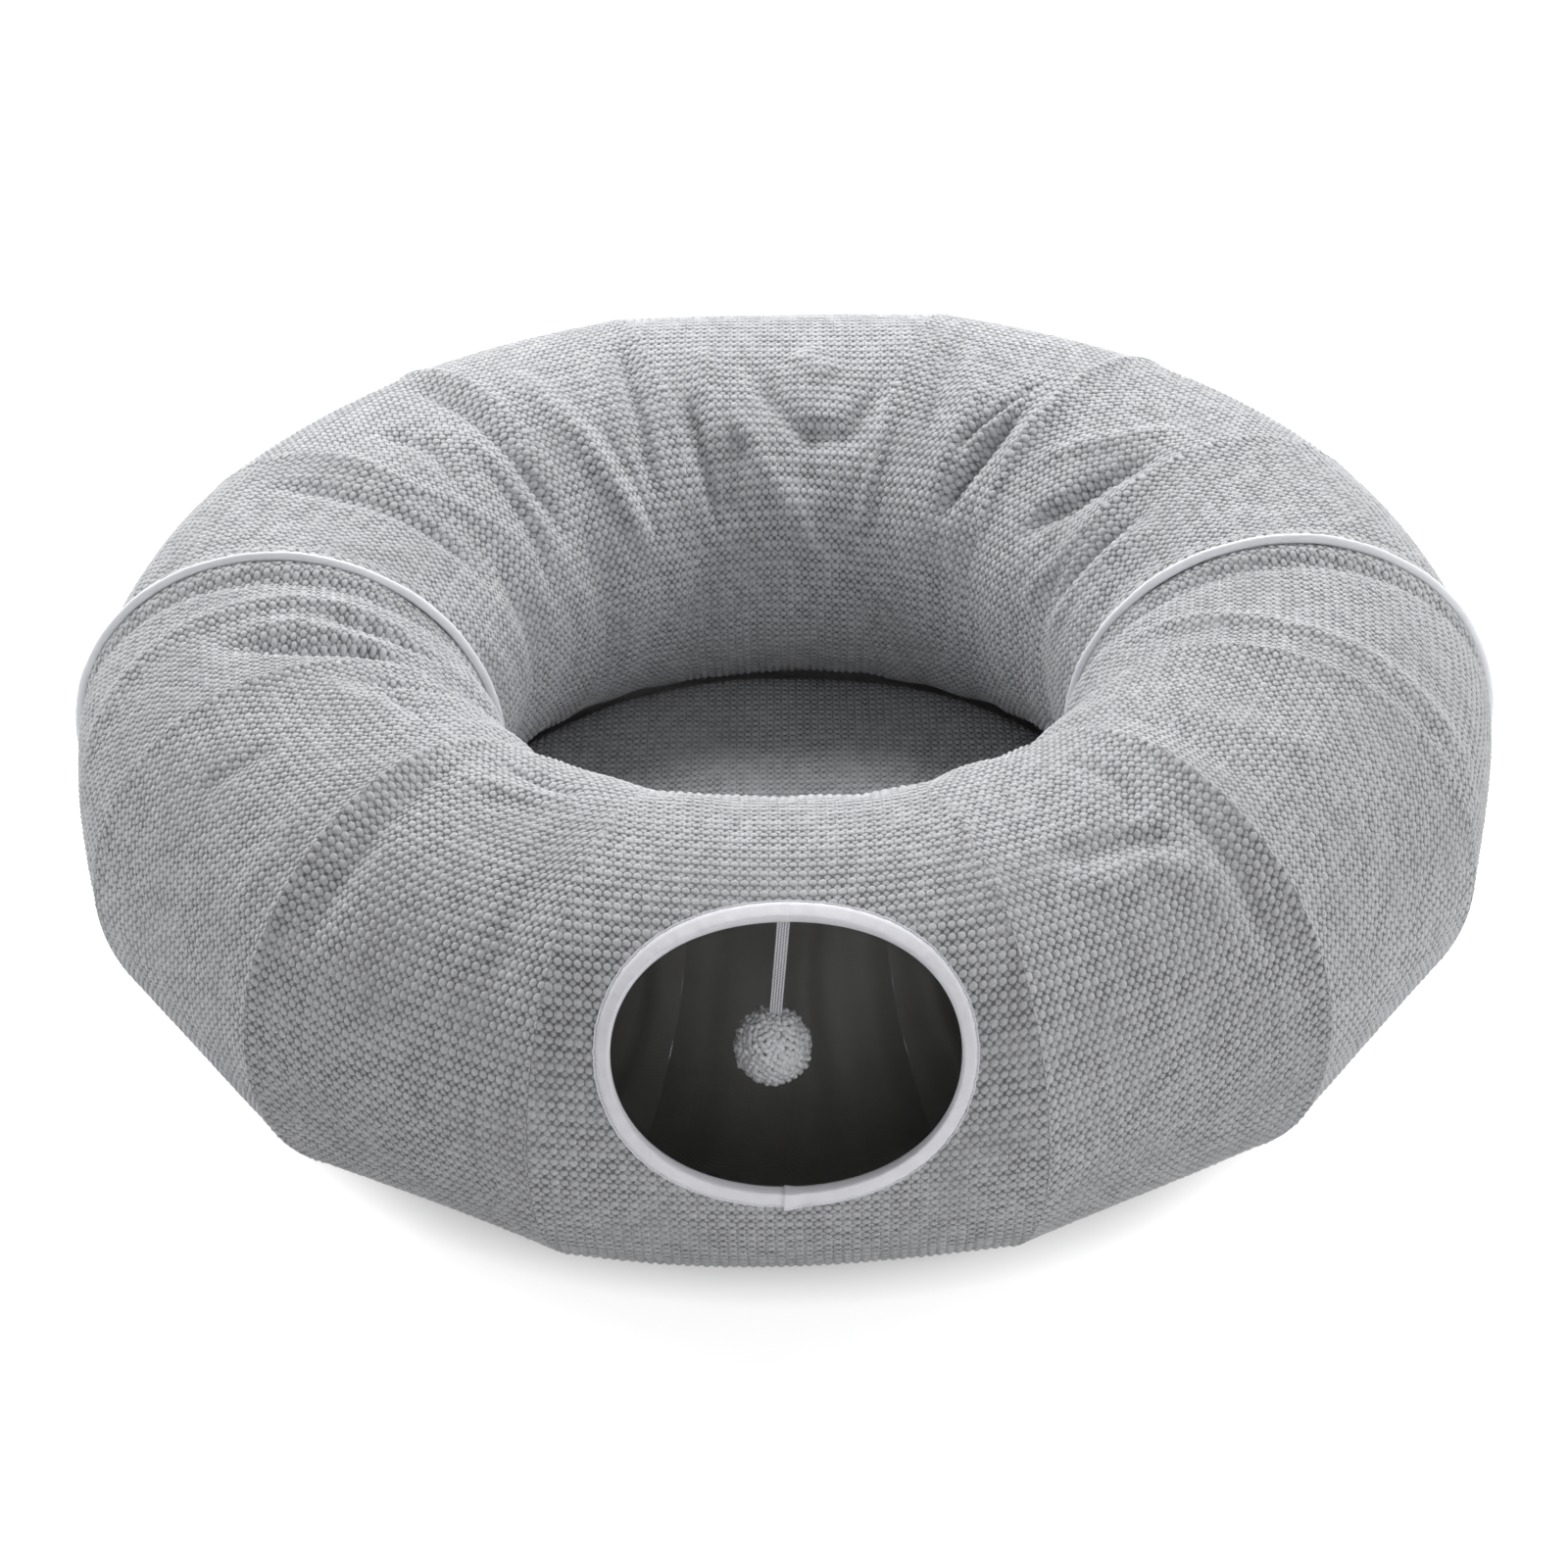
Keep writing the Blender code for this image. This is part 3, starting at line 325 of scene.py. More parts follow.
def tube_faces(rings, sides, closed=False):
    """Faces of a tube stored ring after ring: its wall and, unless it closes on itself, the triangles that close both
    ends, each a fan from the end's first point."""
    wall = grid_faces(rings, sides, closed, True)
    if closed:
        return [wall]
    fan = np.stack([np.zeros(sides - 2, int), np.arange(2, sides), np.arange(1, sides - 1)], 1)
    return [wall, np.concatenate([fan, fan[:, ::-1] + (rings - 1) * sides])]


def swept(path, first, second, outline, closed=False):
    """A profile carried along a path: each point is the path's point plus the outline's two lengths along two
    directions. Returns points and groups of faces."""
    points = path[:, None, :] + first[:, None, :] * outline[..., 0:1] + second[:, None, :] * outline[..., 1:2]
    return points.reshape(-1, 3), tube_faces(len(path), points.shape[1], closed)


def turned_out(points, groups, inside):
    """Groups of faces with their order set so that they point away from a place inside, by the first face."""
    a, b, c = (points[groups[0][0, k]] for k in range(3))
    return groups if float(np.cross(b - a, c - a) @ (a - inside)) > 0 else [faces[:, ::-1] for faces in groups]


def used_only(points, faces, across=None, places=None):
    """Drops faces that fold onto an edge or a point, then the points that no face uses. The shares across belong to
    points, and places to the faces' corners."""
    sides = faces.shape[1]
    keep = np.all([faces[:, first] != faces[:, second] for first, second in combinations(range(sides), 2)], axis=0)
    used, kept = np.unique(faces[keep].ravel(), return_inverse=True)
    across, places = (None if values is None else values[chosen] for values, chosen in ((across, used), (places, keep)))
    return points[used], kept.reshape(-1, sides), across, places


def normals_of(surface, first, second, first_step, second_step):
    """Unit normals of a surface of two measures: the cross product of its slopes over a small step of each."""
    right = surface(first + first_step, second) - surface(first - first_step, second)
    upward = surface(first, second + second_step) - surface(first, second - second_step)
    normal = np.cross(right, upward)
    return normal / np.maximum(np.linalg.norm(normal, axis=-1, keepdims=True), 1e-12)


def smooth_step(value, low, high):
    """0 below low, 1 above high, and a soft rise between them."""
    share = np.clip((value - low) / (high - low), 0, 1)
    return share * share * (3 - 2 * share)


def turns(count):
    """Even steps once round, in radians."""
    return np.arange(count) / count * 2 * math.pi


# The ring's own shape.

class Plane:
    """An upright plane that holds one hoop."""

    def __init__(self, centre, outward, onward):
        self.centre, self.outward, self.onward = (np.array(part, float) for part in (centre, outward, onward))


def hoop_plane(side, angle):
    """The plane of the hoop at an angle from the middle of a half; the end hoops stand parallel to the joint."""
    turn = math.radians(angle)
    if abs(angle) < 90:
        outward = (math.sin(turn), -side * math.cos(turn), 0)
        return Plane(np.array(outward) * RING_RADIUS, outward, (math.cos(turn), side * math.sin(turn), 0))
    return joint_plane(side, angle, END_HOOP_OFFSET)


def joint_plane(side, angle, offset):
    """A plane parallel to the joint between the halves, at an offset into one half."""
    edge = math.copysign(1, angle)
    return Plane((edge * RING_RADIUS, -side * offset, 0), (edge, 0, 0), (0, side * edge, 0))


def section_points(plane, theta, radius):
    """Points of the section: the centre, plus the radius times cosine outwards and sine upwards, never under the
    floor."""
    level = radius * np.cos(theta)
    points = plane.centre + level[..., None] * plane.outward
    points[..., 2] = np.maximum(AXIS_HEIGHT + radius * np.sin(theta), 0)
    return points


def outwards(plane, theta):
    """Directions that point straight out of the section: cosine outwards plus sine upwards."""
    return np.cos(theta)[:, None] * plane.outward + np.sin(theta)[:, None] * np.array([0, 0, 1.0])


class Bay:
    """The cloth between two hoops. Its points are given by a length along the row, from the bay's mid line, and by the
    angle round the section. They run straight between the hoops, sag by a parabola, and keep part of the ring's arc."""

    def __init__(self, side, number, run_out=(0.0, 0.0)):
        self.side, self.number = side, number
        self.start = hoop_plane(side, HOOP_ANGLES[number])
        self.end = hoop_plane(side, HOOP_ANGLES[number + 1])
        self.bulge = PORTHOLE_BULGE if number == PORTHOLE_BAY else BAY_BULGE
        self.run_out = run_out
        middle = self.start.outward + self.end.outward
        self.middle = middle / np.linalg.norm(middle)
        self.half_turn = math.acos(min(1.0, float(self.start.outward @ self.end.outward))) / 2

    def half_width(self, theta):
        """Half the distance between the two hoops at a section angle."""
        theta = np.asarray(theta, float)
        radius = np.full(theta.shape, TUBE_RADIUS)
        span = section_points(self.end, theta, radius) - section_points(self.start, theta, radius)
        return np.linalg.norm(span[..., :2], axis=-1) / 2

    def points(self, along, theta, radius):
        """World points, and the share of the way from hoop to hoop."""
        half = self.half_width(theta)
        share = 0.5 + along / (2 * half)
        across = np.clip(share, 0, 1)
        arch = 4 * across * (1 - across)
        sagged = radius - CLOTH_SAG * arch
        near, far = section_points(self.start, theta, sagged), section_points(self.end, theta, sagged)
        points = near + (far - near) * across[..., None]
        reach = RING_RADIUS + sagged * np.cos(theta)
        points += self.middle * (self.bulge * arch * reach * (1 - math.cos(self.half_turn)))[..., None]
        before, beyond = np.minimum(along + half, 0), np.maximum(along - half, 0)
        points += before[..., None] * self.start.onward + beyond[..., None] * self.end.onward
        return points, across


def fold_depth(points, theta):
    """Soft folds: each is a bell across its line, measured to the line's nearest stretch, that fades at both ends, plus
    a faint overall unevenness."""
    turn = np.degrees(np.arctan2(points[..., 0], -points[..., 1]))
    angle = np.degrees(theta) % 360
    depth = np.zeros(turn.shape)
    for half_width, height, *places in FOLDS:
        line = np.array(places, float)
        line[:, 0] = line[0, 0] + (line[:, 0] - line[0, 0] + 180) % 360 - 180
        middle, spread = (line.max(0) + line.min(0)) / 2, (line.max(0) - line.min(0)) / 2
        off_turn, off_angle = (turn - middle[0] + 180) % 360 - 180, angle - middle[1]
        near = (np.abs(off_turn) < spread[0] + FOLD_REACH[0]) & (np.abs(off_angle) < spread[1] + FOLD_REACH[1])
        if not near.any():
            continue
        reach = RING_RADIUS + TUBE_RADIUS * math.cos(math.radians(middle[1]))
        scale = np.radians([reach, TUBE_RADIUS])
        line = (line - middle) * scale
        here = np.stack([off_turn[near], off_angle[near]], -1) * scale
        run = np.concatenate([[0], np.cumsum(np.linalg.norm(np.diff(line, axis=0), axis=1))])
        closest, passed = np.full(len(here), 1.0), np.zeros(len(here))
        for number, (begin, finish) in enumerate(zip(line[:-1], line[1:])):
            way = finish - begin
            share = np.clip((here - begin) @ way / (way @ way), 0, 1)
            off = np.linalg.norm(here - begin - share[:, None] * way, axis=1)
            passed = np.where(off < closest, (run[number] + share * (run[number + 1] - run[number])) / run[-1], passed)
            closest = np.minimum(off, closest)
        fade = smooth_step(passed, 0, FOLD_FADE) * smooth_step(1 - passed, 0, FOLD_FADE)
        depth[near] += height * fade * np.exp(-(closest / half_width) ** 2)
    inner = smooth_step(-np.cos(theta), -0.1, 0.8)
    ripple = np.sin(np.radians(turn) * 31 + 2.0 * np.sin(theta * 2 + 1.3)) * np.sin(theta * 3 + np.radians(turn) * 2)
    swell = np.sin(np.radians(turn) * 9 + 1.1 * np.sin(theta * 3)) * np.sin(theta * 2.3 + 0.7)
    return depth + (0.0013 * inner * ripple + 0.0012 * swell)


def slack(bay, across, along, theta):
    """How loose cloth fills out between two hoops, as a length outwards: bells round the section, times the bay's arch.
    It bellies out high on the outer side and half way up the inner side, hangs a little at the crown, and stands up
    in a soft ridge over each hoop. Round the porthole it stays flat. Beside the joint it dips."""
    angle = np.degrees(theta)

    def bell(middle, half_width):
        """1 at a section angle, falling off to both sides as the exponential of a square."""
        return np.exp(-(((angle - middle + 180) % 360 - 180) / half_width) ** 2)

    near, bells = 1.0, ((BELLY_LENGTHS[bay.side][abs(bay.number - PORTHOLE_BAY) % 3], *BELLY_BELL), *BAY_BELLS)
    if bay.number == PORTHOLE_BAY:
        near, bells = smooth_step(porthole_spread(along, theta), 1.0, 4.0), PORTHOLE_BELLS
    (length, middle, half_width), *others = bells
    lift = length * bell(middle, half_width) * near
    for length, middle, half_width in others:
        lift = lift + length * bell(middle, half_width)
    width = bay.half_width(theta) * 2
    ends = ((0, across * width), (1, (1 - across) * width))
    ridge = sum(HOOP_RIDGE[bay.number + end] * np.exp(-(reach / RIDGE_SPREAD) ** 2) for end, reach in ends)
    ridge = ridge * (0.35 + 0.65 * bell(75, 75)) * near
    for end, reach in ends:
        if bay.number == end * LAST_BAY:
            dip = np.exp(-((reach - JOINT_DIP_PLACE) / JOINT_DIP_SPREAD) ** 2) * (0.3 + 0.7 * bell(80, 80))
            ridge = ridge - JOINT_DIP[bay.side] * dip
    return 4 * across * (1 - across) * lift + ridge


def bobbles(column, row, seed):
    """Bobble height from 0 to 1 at lattice places: a bobble stands at each whole number pair, as a rounded dome that
    falls off by a cosine, and a slightly lower one in the middle of four of them. Rows are further apart than
    columns, so the domes are round on the cloth."""
    table = 0.90 + 0.16 * np.random.default_rng(seed).random((97, 131))

    def domes(cell, centre, wide, tall, order, top):
        """Domes at one place of every lattice cell, each with its own size from the table."""
        cells = cell(column), cell(row)
        size = table[tuple(np.mod(cells[axis], count).astype(int) for axis, count in zip(order, table.shape))]
        off = np.hypot((column - cells[0] - centre) / wide, (row - cells[1] - centre) / tall)
        return top * size * np.cos(np.minimum(off, 1) * math.pi / 2)

    return np.maximum(domes(np.round, 0, 0.60, 0.43, (0, 1), 1), domes(np.floor, 0.5, 0.46, 0.33, (1, 0), 0.52))


def cover_radius(bay, along, theta):
    """Radius of the cloth's ground: the tube's own radius less the bobbles, plus the folds, the slack and the rear
    half's raised hem. Bells over the hoops keep it outside the wire."""
    sizes = bpy.context.scene.tunnel_sizes
    ground = np.full(np.shape(along), TUBE_RADIUS - sizes.bobble_height)
    flat, across = bay.points(along, theta, ground)
    ground = ground + fold_depth(flat, theta) * sizes.fold_strength + slack(bay, across, along, theta)
    half = bay.half_width(theta)
    over_wire = np.exp(-(np.minimum(across, 1 - across) * half * 2 / WIRE_SPREAD) ** 2)
    ground = np.where(ground < WIRE_COVER, ground + (WIRE_COVER - ground) * over_wire, ground)
    for sign, run_out in ((-1, bay.run_out[0]), (1, bay.run_out[1])):
        if bay.side == REAR and run_out:
            edge = run_out - (sign * along - half)
            hem = smooth_step(edge, -0.0004, 0.0022) * (1 - smooth_step(edge, HEM_WIDTH - 0.0014, HEM_WIDTH + 0.0006))
            groove = np.exp(-((edge - HEM_WIDTH - GROOVE_OFFSET) / GROOVE_SPREAD) ** 2)
            ground = ground + HEM_RISE * hem - GROOVE_DEPTH * groove
    return ground


def porthole_spread(along, theta):
    """0 on the porthole's cut edge and 1 on its binding's outer edge, measured along the cloth."""
    height = np.radians((np.degrees(theta) - PORTHOLE_ANGLE + 180) % 360 - 180) * TUBE_RADIUS
    turn = np.arctan2(height / PORTHOLE_HALF_HEIGHT, along / PORTHOLE_HALF_WIDTH)
    edge = np.hypot(PORTHOLE_HALF_WIDTH * np.cos(turn), PORTHOLE_HALF_HEIGHT * np.sin(turn))
    return (np.hypot(along, height) - edge) / BINDING_WIDTH


def cover_piece(name, bay, part):
    """One bay of bobble cloth, or one side of the porthole bay, on a grid that follows the bobbles.

    Rows of the grid run along rows of bobbles. Grid columns beyond the bay's edge close up on it. Each point is the
    ground's, moved out along its normal by the bobble's height, which evens out at the bay's edges."""
    sizes = bpy.context.scene.tunnel_sizes
    step = sizes.bobble_pitch / BOBBLE_STEPS
    most = int((float(bay.half_width(np.array(0.0))) + max(bay.run_out) + 0.02) / step)
    columns = np.arange(0 if part == "right" else -most, 1 if part == "left" else most + 1)
    row_count = sizes.bobble_rows * BOBBLE_STEPS
    arc = (np.arange(row_count) / row_count - 0.25) * SECTION_LENGTH

    def row_ends(sign):
        """Where each row ends on the left (-1) or the right (1): past the bay's edge by its run-out, or in mid bay."""
        if part == EDGE_NAMES[-sign]:
            return np.zeros((row_count, 1))
        theta = arc / TUBE_RADIUS
        for _ in range(3):
            theta = (arc + row_shift(bay, sign * bay.half_width(theta), arc / TUBE_RADIUS)) / TUBE_RADIUS
        return (sign * (bay.half_width(theta) + bay.run_out[sign > 0]))[:, None]

    def ground(along_here, theta_here):
        """The cloth's ground at places along the rows and round the section."""
        return bay.points(along_here, theta_here, cover_radius(bay, along_here, theta_here))[0]

    low, high = row_ends(-1), row_ends(1)
    first = np.maximum(np.searchsorted(columns * step, low, side="right") - 1, 0)
    last = np.minimum(np.searchsorted(columns * step, high, side="left"), len(columns) - 1)
    along = np.clip(columns * step, low, high)
    theta = (arc[:, None] + row_shift(bay, along, arc[:, None] / TUBE_RADIUS)) / TUBE_RADIUS
    points, across = bay.points(along, theta, cover_radius(bay, along, theta))
    normal = normals_of(ground, along, theta, SLOPE_STEP, SLOPE_STEP / TUBE_RADIUS) * bay.side
    seed = 100 + bay.number * 2 + (bay.side == REAR) * 50
    height = bobbles(along / sizes.bobble_pitch, np.arange(row_count)[:, None] / BOBBLE_STEPS, seed)
    inside = np.minimum(np.inf if part == "right" else along - low, np.inf if part == "left" else high - along)
    height = 0.6 + (height - 0.6) * smooth_step(inside, 0.0, 0.0012)
    spread = porthole_spread(along, theta)
    if part:
        height = height * smooth_step(spread, 0.8, 1.25)
    points = points + normal * (height * sizes.bobble_height)[..., None]
    points[..., 2] = np.maximum(points[..., 2], GAP / 2)
    index = np.arange(row_count)[:, None] * len(columns) + np.clip(np.arange(len(columns)), first, last)
    next_row = np.roll(index, -1, axis=0)
    quads = np.stack([index[:, :-1], index[:, 1:], next_row[:, 1:], next_row[:, :-1]], -1).reshape(-1, 4)
    row_places = np.repeat(np.arange(row_count) / BOBBLE_STEPS, len(columns) - 1)[:, None] + [0, 0, 0.25, 0.25]
    places = np.stack([(along.ravel() / sizes.bobble_pitch)[quads], row_places], -1)
    if part:
        kept = (spread.ravel()[quads] > COVER_CUT).all(-1)
        quads, places = quads[kept], places[kept]
    quads, places = quads[:, ::bay.side], places[:, ::bay.side]
    triangles, places = (np.concatenate([four[:, [0, 1, 2]], four[:, [0, 2, 3]]]) for four in (quads, places))
    points, triangles, across, places = used_only(points.reshape(-1, 3), triangles, across.ravel(), places)
    return make_piece(name, points, triangles, material_of("chenille"), places=places), across


def row_shift(bay, along, theta):
    """How far round the section a row has moved: it runs on from hoop to hoop, tilts in each bay, and hangs lower
    between the hoops by the bay's bow."""
    bow, tilt = ROW_BOW[bay.side], ROW_TILT[bay.side]
    half = bay.half_width(theta)
    along = np.clip(along, -half, half)
    shift = bow[PORTHOLE_BAY] + bow[bay.number] * (bow_shape(along / half) - 1)
    if bay.number == PORTHOLE_BAY:
        return shift + tilt[PORTHOLE_BAY] * along
    away = 1 if bay.number > PORTHOLE_BAY else -1
    shift = shift + tilt[bay.number] * (along + away * half)
    for number in range(PORTHOLE_BAY + away, bay.number, away):
        shift = shift + away * 2 * tilt[number] * Bay(bay.side, number).half_width(theta)
    return shift


def bow_shape(share):
    """How a row rises from mid bay to the hoops: nearly straight both ways, with a soft turn in the middle."""
    return (np.sqrt(share ** 2 + 0.06) - math.sqrt(0.06)) / (math.sqrt(1.06) - math.sqrt(0.06))


# Materials.

# A wave texture's bands lie this far apart at scale 1.
WAVE_BAND = 0.314

# The output by which a kind of node feeds another, where it isn't its first.
MAIN_OUTPUT = {"ShaderNodeTexWave": "Fac", "ShaderNodeAttribute": "Fac", "ShaderNodeTexCoord": "Object"}


def fill(node, inputs):
    """Sets a node's attributes and inputs by name, or links an input where its entry is a node or a socket."""
    for key, value in inputs.items():
        if isinstance(value, Node):
            value = value.outputs[MAIN_OUTPUT.get(value.bl_idname, 0)]
        if isinstance(value, NodeSocket):
            node.id_data.links.new(value, node.inputs[key])
        elif isinstance(key, str) and hasattr(node, key):
            setattr(node, key, value)
        else:
            node.inputs[key].default_value = value
    return node


def add_node(tree, kind, inputs=None):
    """One shader node with its settings and links."""
    return fill(tree.nodes.new("ShaderNode" + kind), inputs or {})


def new_material(name):
    """A material with a Principled shader and its output, and the function that adds a node to it."""
    material = bpy.data.materials.new(name)
    material.use_nodes = True
    material.node_tree.nodes.clear()
    add = partial(add_node, material.node_tree)
    shader = add("BsdfPrincipled")
    add("OutputMaterial", {"Surface": shader})
    return material, shader, add


def dress(shader, add, colour, tone, height, strength, depth, finish):
    """What each cloth ends with: its colour times a tone, relief from a height, and the shader's own constants."""
    toned = add("VectorMath", {"operation": "SCALE", 0: colour, "Scale": tone})
    bump = add("Bump", {"Strength": strength, "Distance": depth, "Height": height})
    fill(shader, {"Base Color": toned, "Normal": bump, **finish})


def bobble_chenille():
    """Polyester chenille woven in bobbles: matte round tufts of fine fibres, packed so that only thin creases show
    between them. The creases are darkened by painted shade, which is softer in patches where the pile is brushed flat."""
    colours, sizes = bpy.context.scene.tunnel_colours, bpy.context.scene.tunnel_sizes
    material, shader, add = new_material("bobble_chenille")
    place = add("UVMap", {"uv_map": "rows"})
    solid = add("TexCoord")
    # Fibres of 0.3 mm are drawn at 0.9 mm, to show at all.
    pile = add("TexNoise", {"Scale": 1100.0, "Detail": 5.0, "Roughness": 0.7, "Vector": solid})
    stray = add("TexNoise", {"noise_dimensions": "2D", "Scale": 2.6, "Detail": 3.0, "Roughness": 0.6, "Vector": place})
    push = add("VectorMath", {"operation": "MULTIPLY_ADD", 0: stray.outputs["Color"], 1: (0.30, 0.18, 0),
                              2: (-0.15, -0.09, 0)})
    pushed = add("VectorMath", {"operation": "ADD", 0: place, 1: push})
    stretch_rows = SECTION_LENGTH / sizes.bobble_rows / sizes.bobble_pitch

    def tufts(offset, radius, top):
        """Round domes, one in each square of the lattice, each of its own size: a soft step of the distance."""
        moved = add("VectorMath", {"operation": "ADD", 0: pushed, 1: (offset, offset, 0)})
        cell = add("VectorMath", {"operation": "FLOOR", 0: moved})
        own = add("TexWhiteNoise", {"noise_dimensions": "2D", "Vector": cell})
        inside = add("VectorMath", {"operation": "SUBTRACT", 0: moved, 1: cell})
        centred = add("VectorMath", {"operation": "MULTIPLY_ADD", 0: inside, 1: (1.0, stretch_rows, 0.0),
                                     2: (-0.5, -0.5 * stretch_rows, 0.0)})
        away = add("VectorMath", {"operation": "LENGTH", 0: centred})
        grown = add("MapRange", {"To Min": radius * 0.88, "To Max": radius * 1.1, "Value": own})
        share = add("Math", {"operation": "DIVIDE", 0: away.outputs["Value"], 1: grown})
        return add("MapRange", {"interpolation_type": "SMOOTHSTEP", "From Min": 1.0, "From Max": 0.42, "To Max": top,
                                "Value": share}), own

    large, large_shade = tufts(0.5, 0.62, 1.0)
    small, small_shade = tufts(0.0, 0.46, 0.58)
    height = add("Math", {"operation": "MAXIMUM", 0: large, 1: small})
    rough = add("Math", {"operation": "MULTIPLY_ADD", 0: pile, 1: 0.55, 2: height})
    brushed = add("TexNoise", {"Scale": 17.0, "Detail": 3.0, "Roughness": 0.6, "Vector": solid})
    soft = add("MapRange", {"From Min": 0.46, "From Max": 0.66, "To Min": 0.0, "To Max": 0.45, "Value": brushed})
    # The colour goes from the crease colour where the cloth lies low to the bobbles' colour on their tops: painted
    # shade in the creases, eased in the brushed patches.
    lift = add("MapRange", {"From Min": 0.30, "From Max": 0.92, "Value": rough})
    lifted = add("Mix", {0: soft, 2: lift, 3: 0.66})
    base = add("Mix", {"data_type": "RGBA", 0: lifted, 6: (*colours.cloth_crease_shade, 1), 7: (*colours.cloth, 1)})
    speck = add("MapRange", {"From Min": 0.34, "From Max": 0.66, "To Min": 0.80, "To Max": 1.14, "Value": pile})
    shades = add("Math", {"operation": "ADD", 0: large_shade, 1: small_shade})
    tone = add("MapRange", {"From Max": 2.0, "To Min": 0.95, "To Max": 1.04, "Value": shades})
    both = add("Math", {"operation": "MULTIPLY", 0: speck, 1: tone})
    dress(shader, add, base.outputs[2], both, rough, 0.9, 0.0015,
          {"Roughness": 0.95, "Sheen Weight": 0.3, "Sheen Roughness": 0.6, "Specular IOR Level": 0.2})
    return material


def woven_cloth(name, colour, thread, contrast, roughness, sheen, slow):
    """Plain woven cloth: crossed threads as two wave patterns, with a slow cloudiness."""
    material, shader, add = new_material(name)
    place = add("TexCoord")
    warp, weft = (add("TexWave", {"bands_direction": way, "Scale": WAVE_BAND / thread, "Distortion": 1.5, "Detail": 1.0,
                                  "Detail Scale": 2.0, "Vector": place}) for way in "XZ")
    cross = add("Math", {"operation": "MULTIPLY", 0: warp, 1: weft})
    cloud = add("TexNoise", {"Scale": 30.0, "Detail": 3.0, "Vector": place})
    tone = add("MapRange", {"To Min": 1 - contrast, "To Max": 1 + contrast, "Value": cross})
    drift = add("MapRange", {"To Min": 1 - slow, "To Max": 1 + slow, "Value": cloud})
    both = add("Math", {"operation": "MULTIPLY", 0: tone, 1: drift})
    dress(shader, add, tuple(colour), both, cross, 0.35, thread / 4, {"Roughness": roughness, "Sheen Weight": sheen})
    return material


def stitched_tape():
    """Cotton bias tape: a fine diagonal weave, and one row of machine stitches sunk near its outer edge, darkened by
    painted shade in their groove.
    """
    material, shader, add = new_material("cotton_bias_tape")
    solid = add("TexCoord")
    across = add("Attribute", {"attribute_name": "stitch_line"})
    run = add("Attribute", {"attribute_name": "stitch_run"})
    # Threads of 0.3 mm are drawn at 0.8 mm.
    threads = add("TexWave", {"bands_direction": "DIAGONAL", "Scale": WAVE_BAND / 0.0008, "Distortion": 1.2,
                              "Detail": 2.0, "Vector": solid})
    fuzz = add("TexNoise", {"Scale": 700.0, "Detail": 4.0, "Vector": solid})
    cloud = add("TexNoise", {"Scale": 90.0, "Detail": 2.0, "Vector": solid})
    # The stitch line lies at 0.84 of the tape's width, with 2.6 mm from stitch to stitch.
    beside = add("Math", {"operation": "SUBTRACT", 0: across, 1: 0.84})
    off = add("Math", {"operation": "ABSOLUTE", 0: beside})
    line = add("MapRange", {"interpolation_type": "SMOOTHSTEP", "From Min": 0.09, "From Max": 0.0, "Value": off})
    turned = add("Math", {"operation": "MULTIPLY", 0: run, 1: 2 * math.pi / 0.0026})
    wave = add("Math", {"operation": "SINE", 0: turned})
    dashes = add("MapRange", {"From Min": -1.0, "From Max": 1.0, "To Min": 0.35, "Value": wave})
    sunk = add("Math", {"operation": "MULTIPLY", 0: line, 1: dashes})
    weave = add("Math", {"operation": "MULTIPLY_ADD", 0: threads, 1: 0.4, 2: fuzz})
    level = add("Math", {"operation": "MULTIPLY_ADD", 0: sunk, 1: -2.4, 2: weave})
    # The tone falls where the level is low: painted shade in the sunk stitches, over the weave's own tone.
    tone = add("MapRange", {"From Min": -1.2, "From Max": 1.2, "To Min": 0.78, "To Max": 1.04, "Value": level})
    drift = add("MapRange", {"From Min": 0.3, "From Max": 0.7, "To Min": 0.96, "To Max": 1.03, "Value": cloud})
    both = add("Math", {"operation": "MULTIPLY", 0: tone, 1: drift})
    dress(shader, add, tuple(bpy.context.scene.tunnel_colours.cotton), both, level, 0.5, 0.0004,
          {"Roughness": 0.85, "Sheen Weight": 0.15})
    return material


def ribbed_band():
    """Woven elastic: fine ribs of white thread run along the band, crossed by slanting picks, with painted shade that
    turns the grooves grey.
    """
    material, shader, add = new_material("woven_elastic")
    width = add("Attribute", {"attribute_name": "width_place"})
    run = add("Attribute", {"attribute_name": "run"})
    # Ribs of 1 mm are drawn at 1.6 mm, and picks of 0.8 mm at 2.2 mm.
    ribs = add("Math", {"operation": "MULTIPLY", 0: width, 1: 2 * math.pi / 0.0016})
    rib = add("Math", {"operation": "COSINE", 0: ribs})
    slant = add("Math", {"operation": "MULTIPLY_ADD", 0: width, 1: 0.6, 2: run})
    picks = add("Math", {"operation": "MULTIPLY", 0: slant, 1: 2 * math.pi / 0.0022})
    pick = add("Math", {"operation": "SINE", 0: picks})
    level = add("Math", {"operation": "MULTIPLY_ADD", 0: pick, 1: 0.45, 2: rib})
    # The tone falls with the level: painted shade in the grooves between ribs and picks.
    tone = add("MapRange", {"From Min": -1.1, "From Max": 0.7, "To Min": 0.42, "To Max": 1.0, "Value": level})
    dress(shader, add, linear("#E2E2E8"), tone, level, 0.5, 0.0003, {"Roughness": 0.7})
    return material


def metal(name, hex_colour, roughness):
    """Worn metal: a plain colour with fine brushed variation in its gloss."""
    material, shader, add = new_material(name)
    place = add("TexCoord")
    grain = add("TexNoise", {"Scale": 900.0, "Detail": 4.0, "Vector": place})
    gloss = add("MapRange", {"To Min": roughness - 0.08, "To Max": roughness + 0.1, "Value": grain})
    fill(shader, {"Roughness": gloss, "Base Color": (*linear(hex_colour), 1), "Metallic": 1.0})
    return material


_made = {}


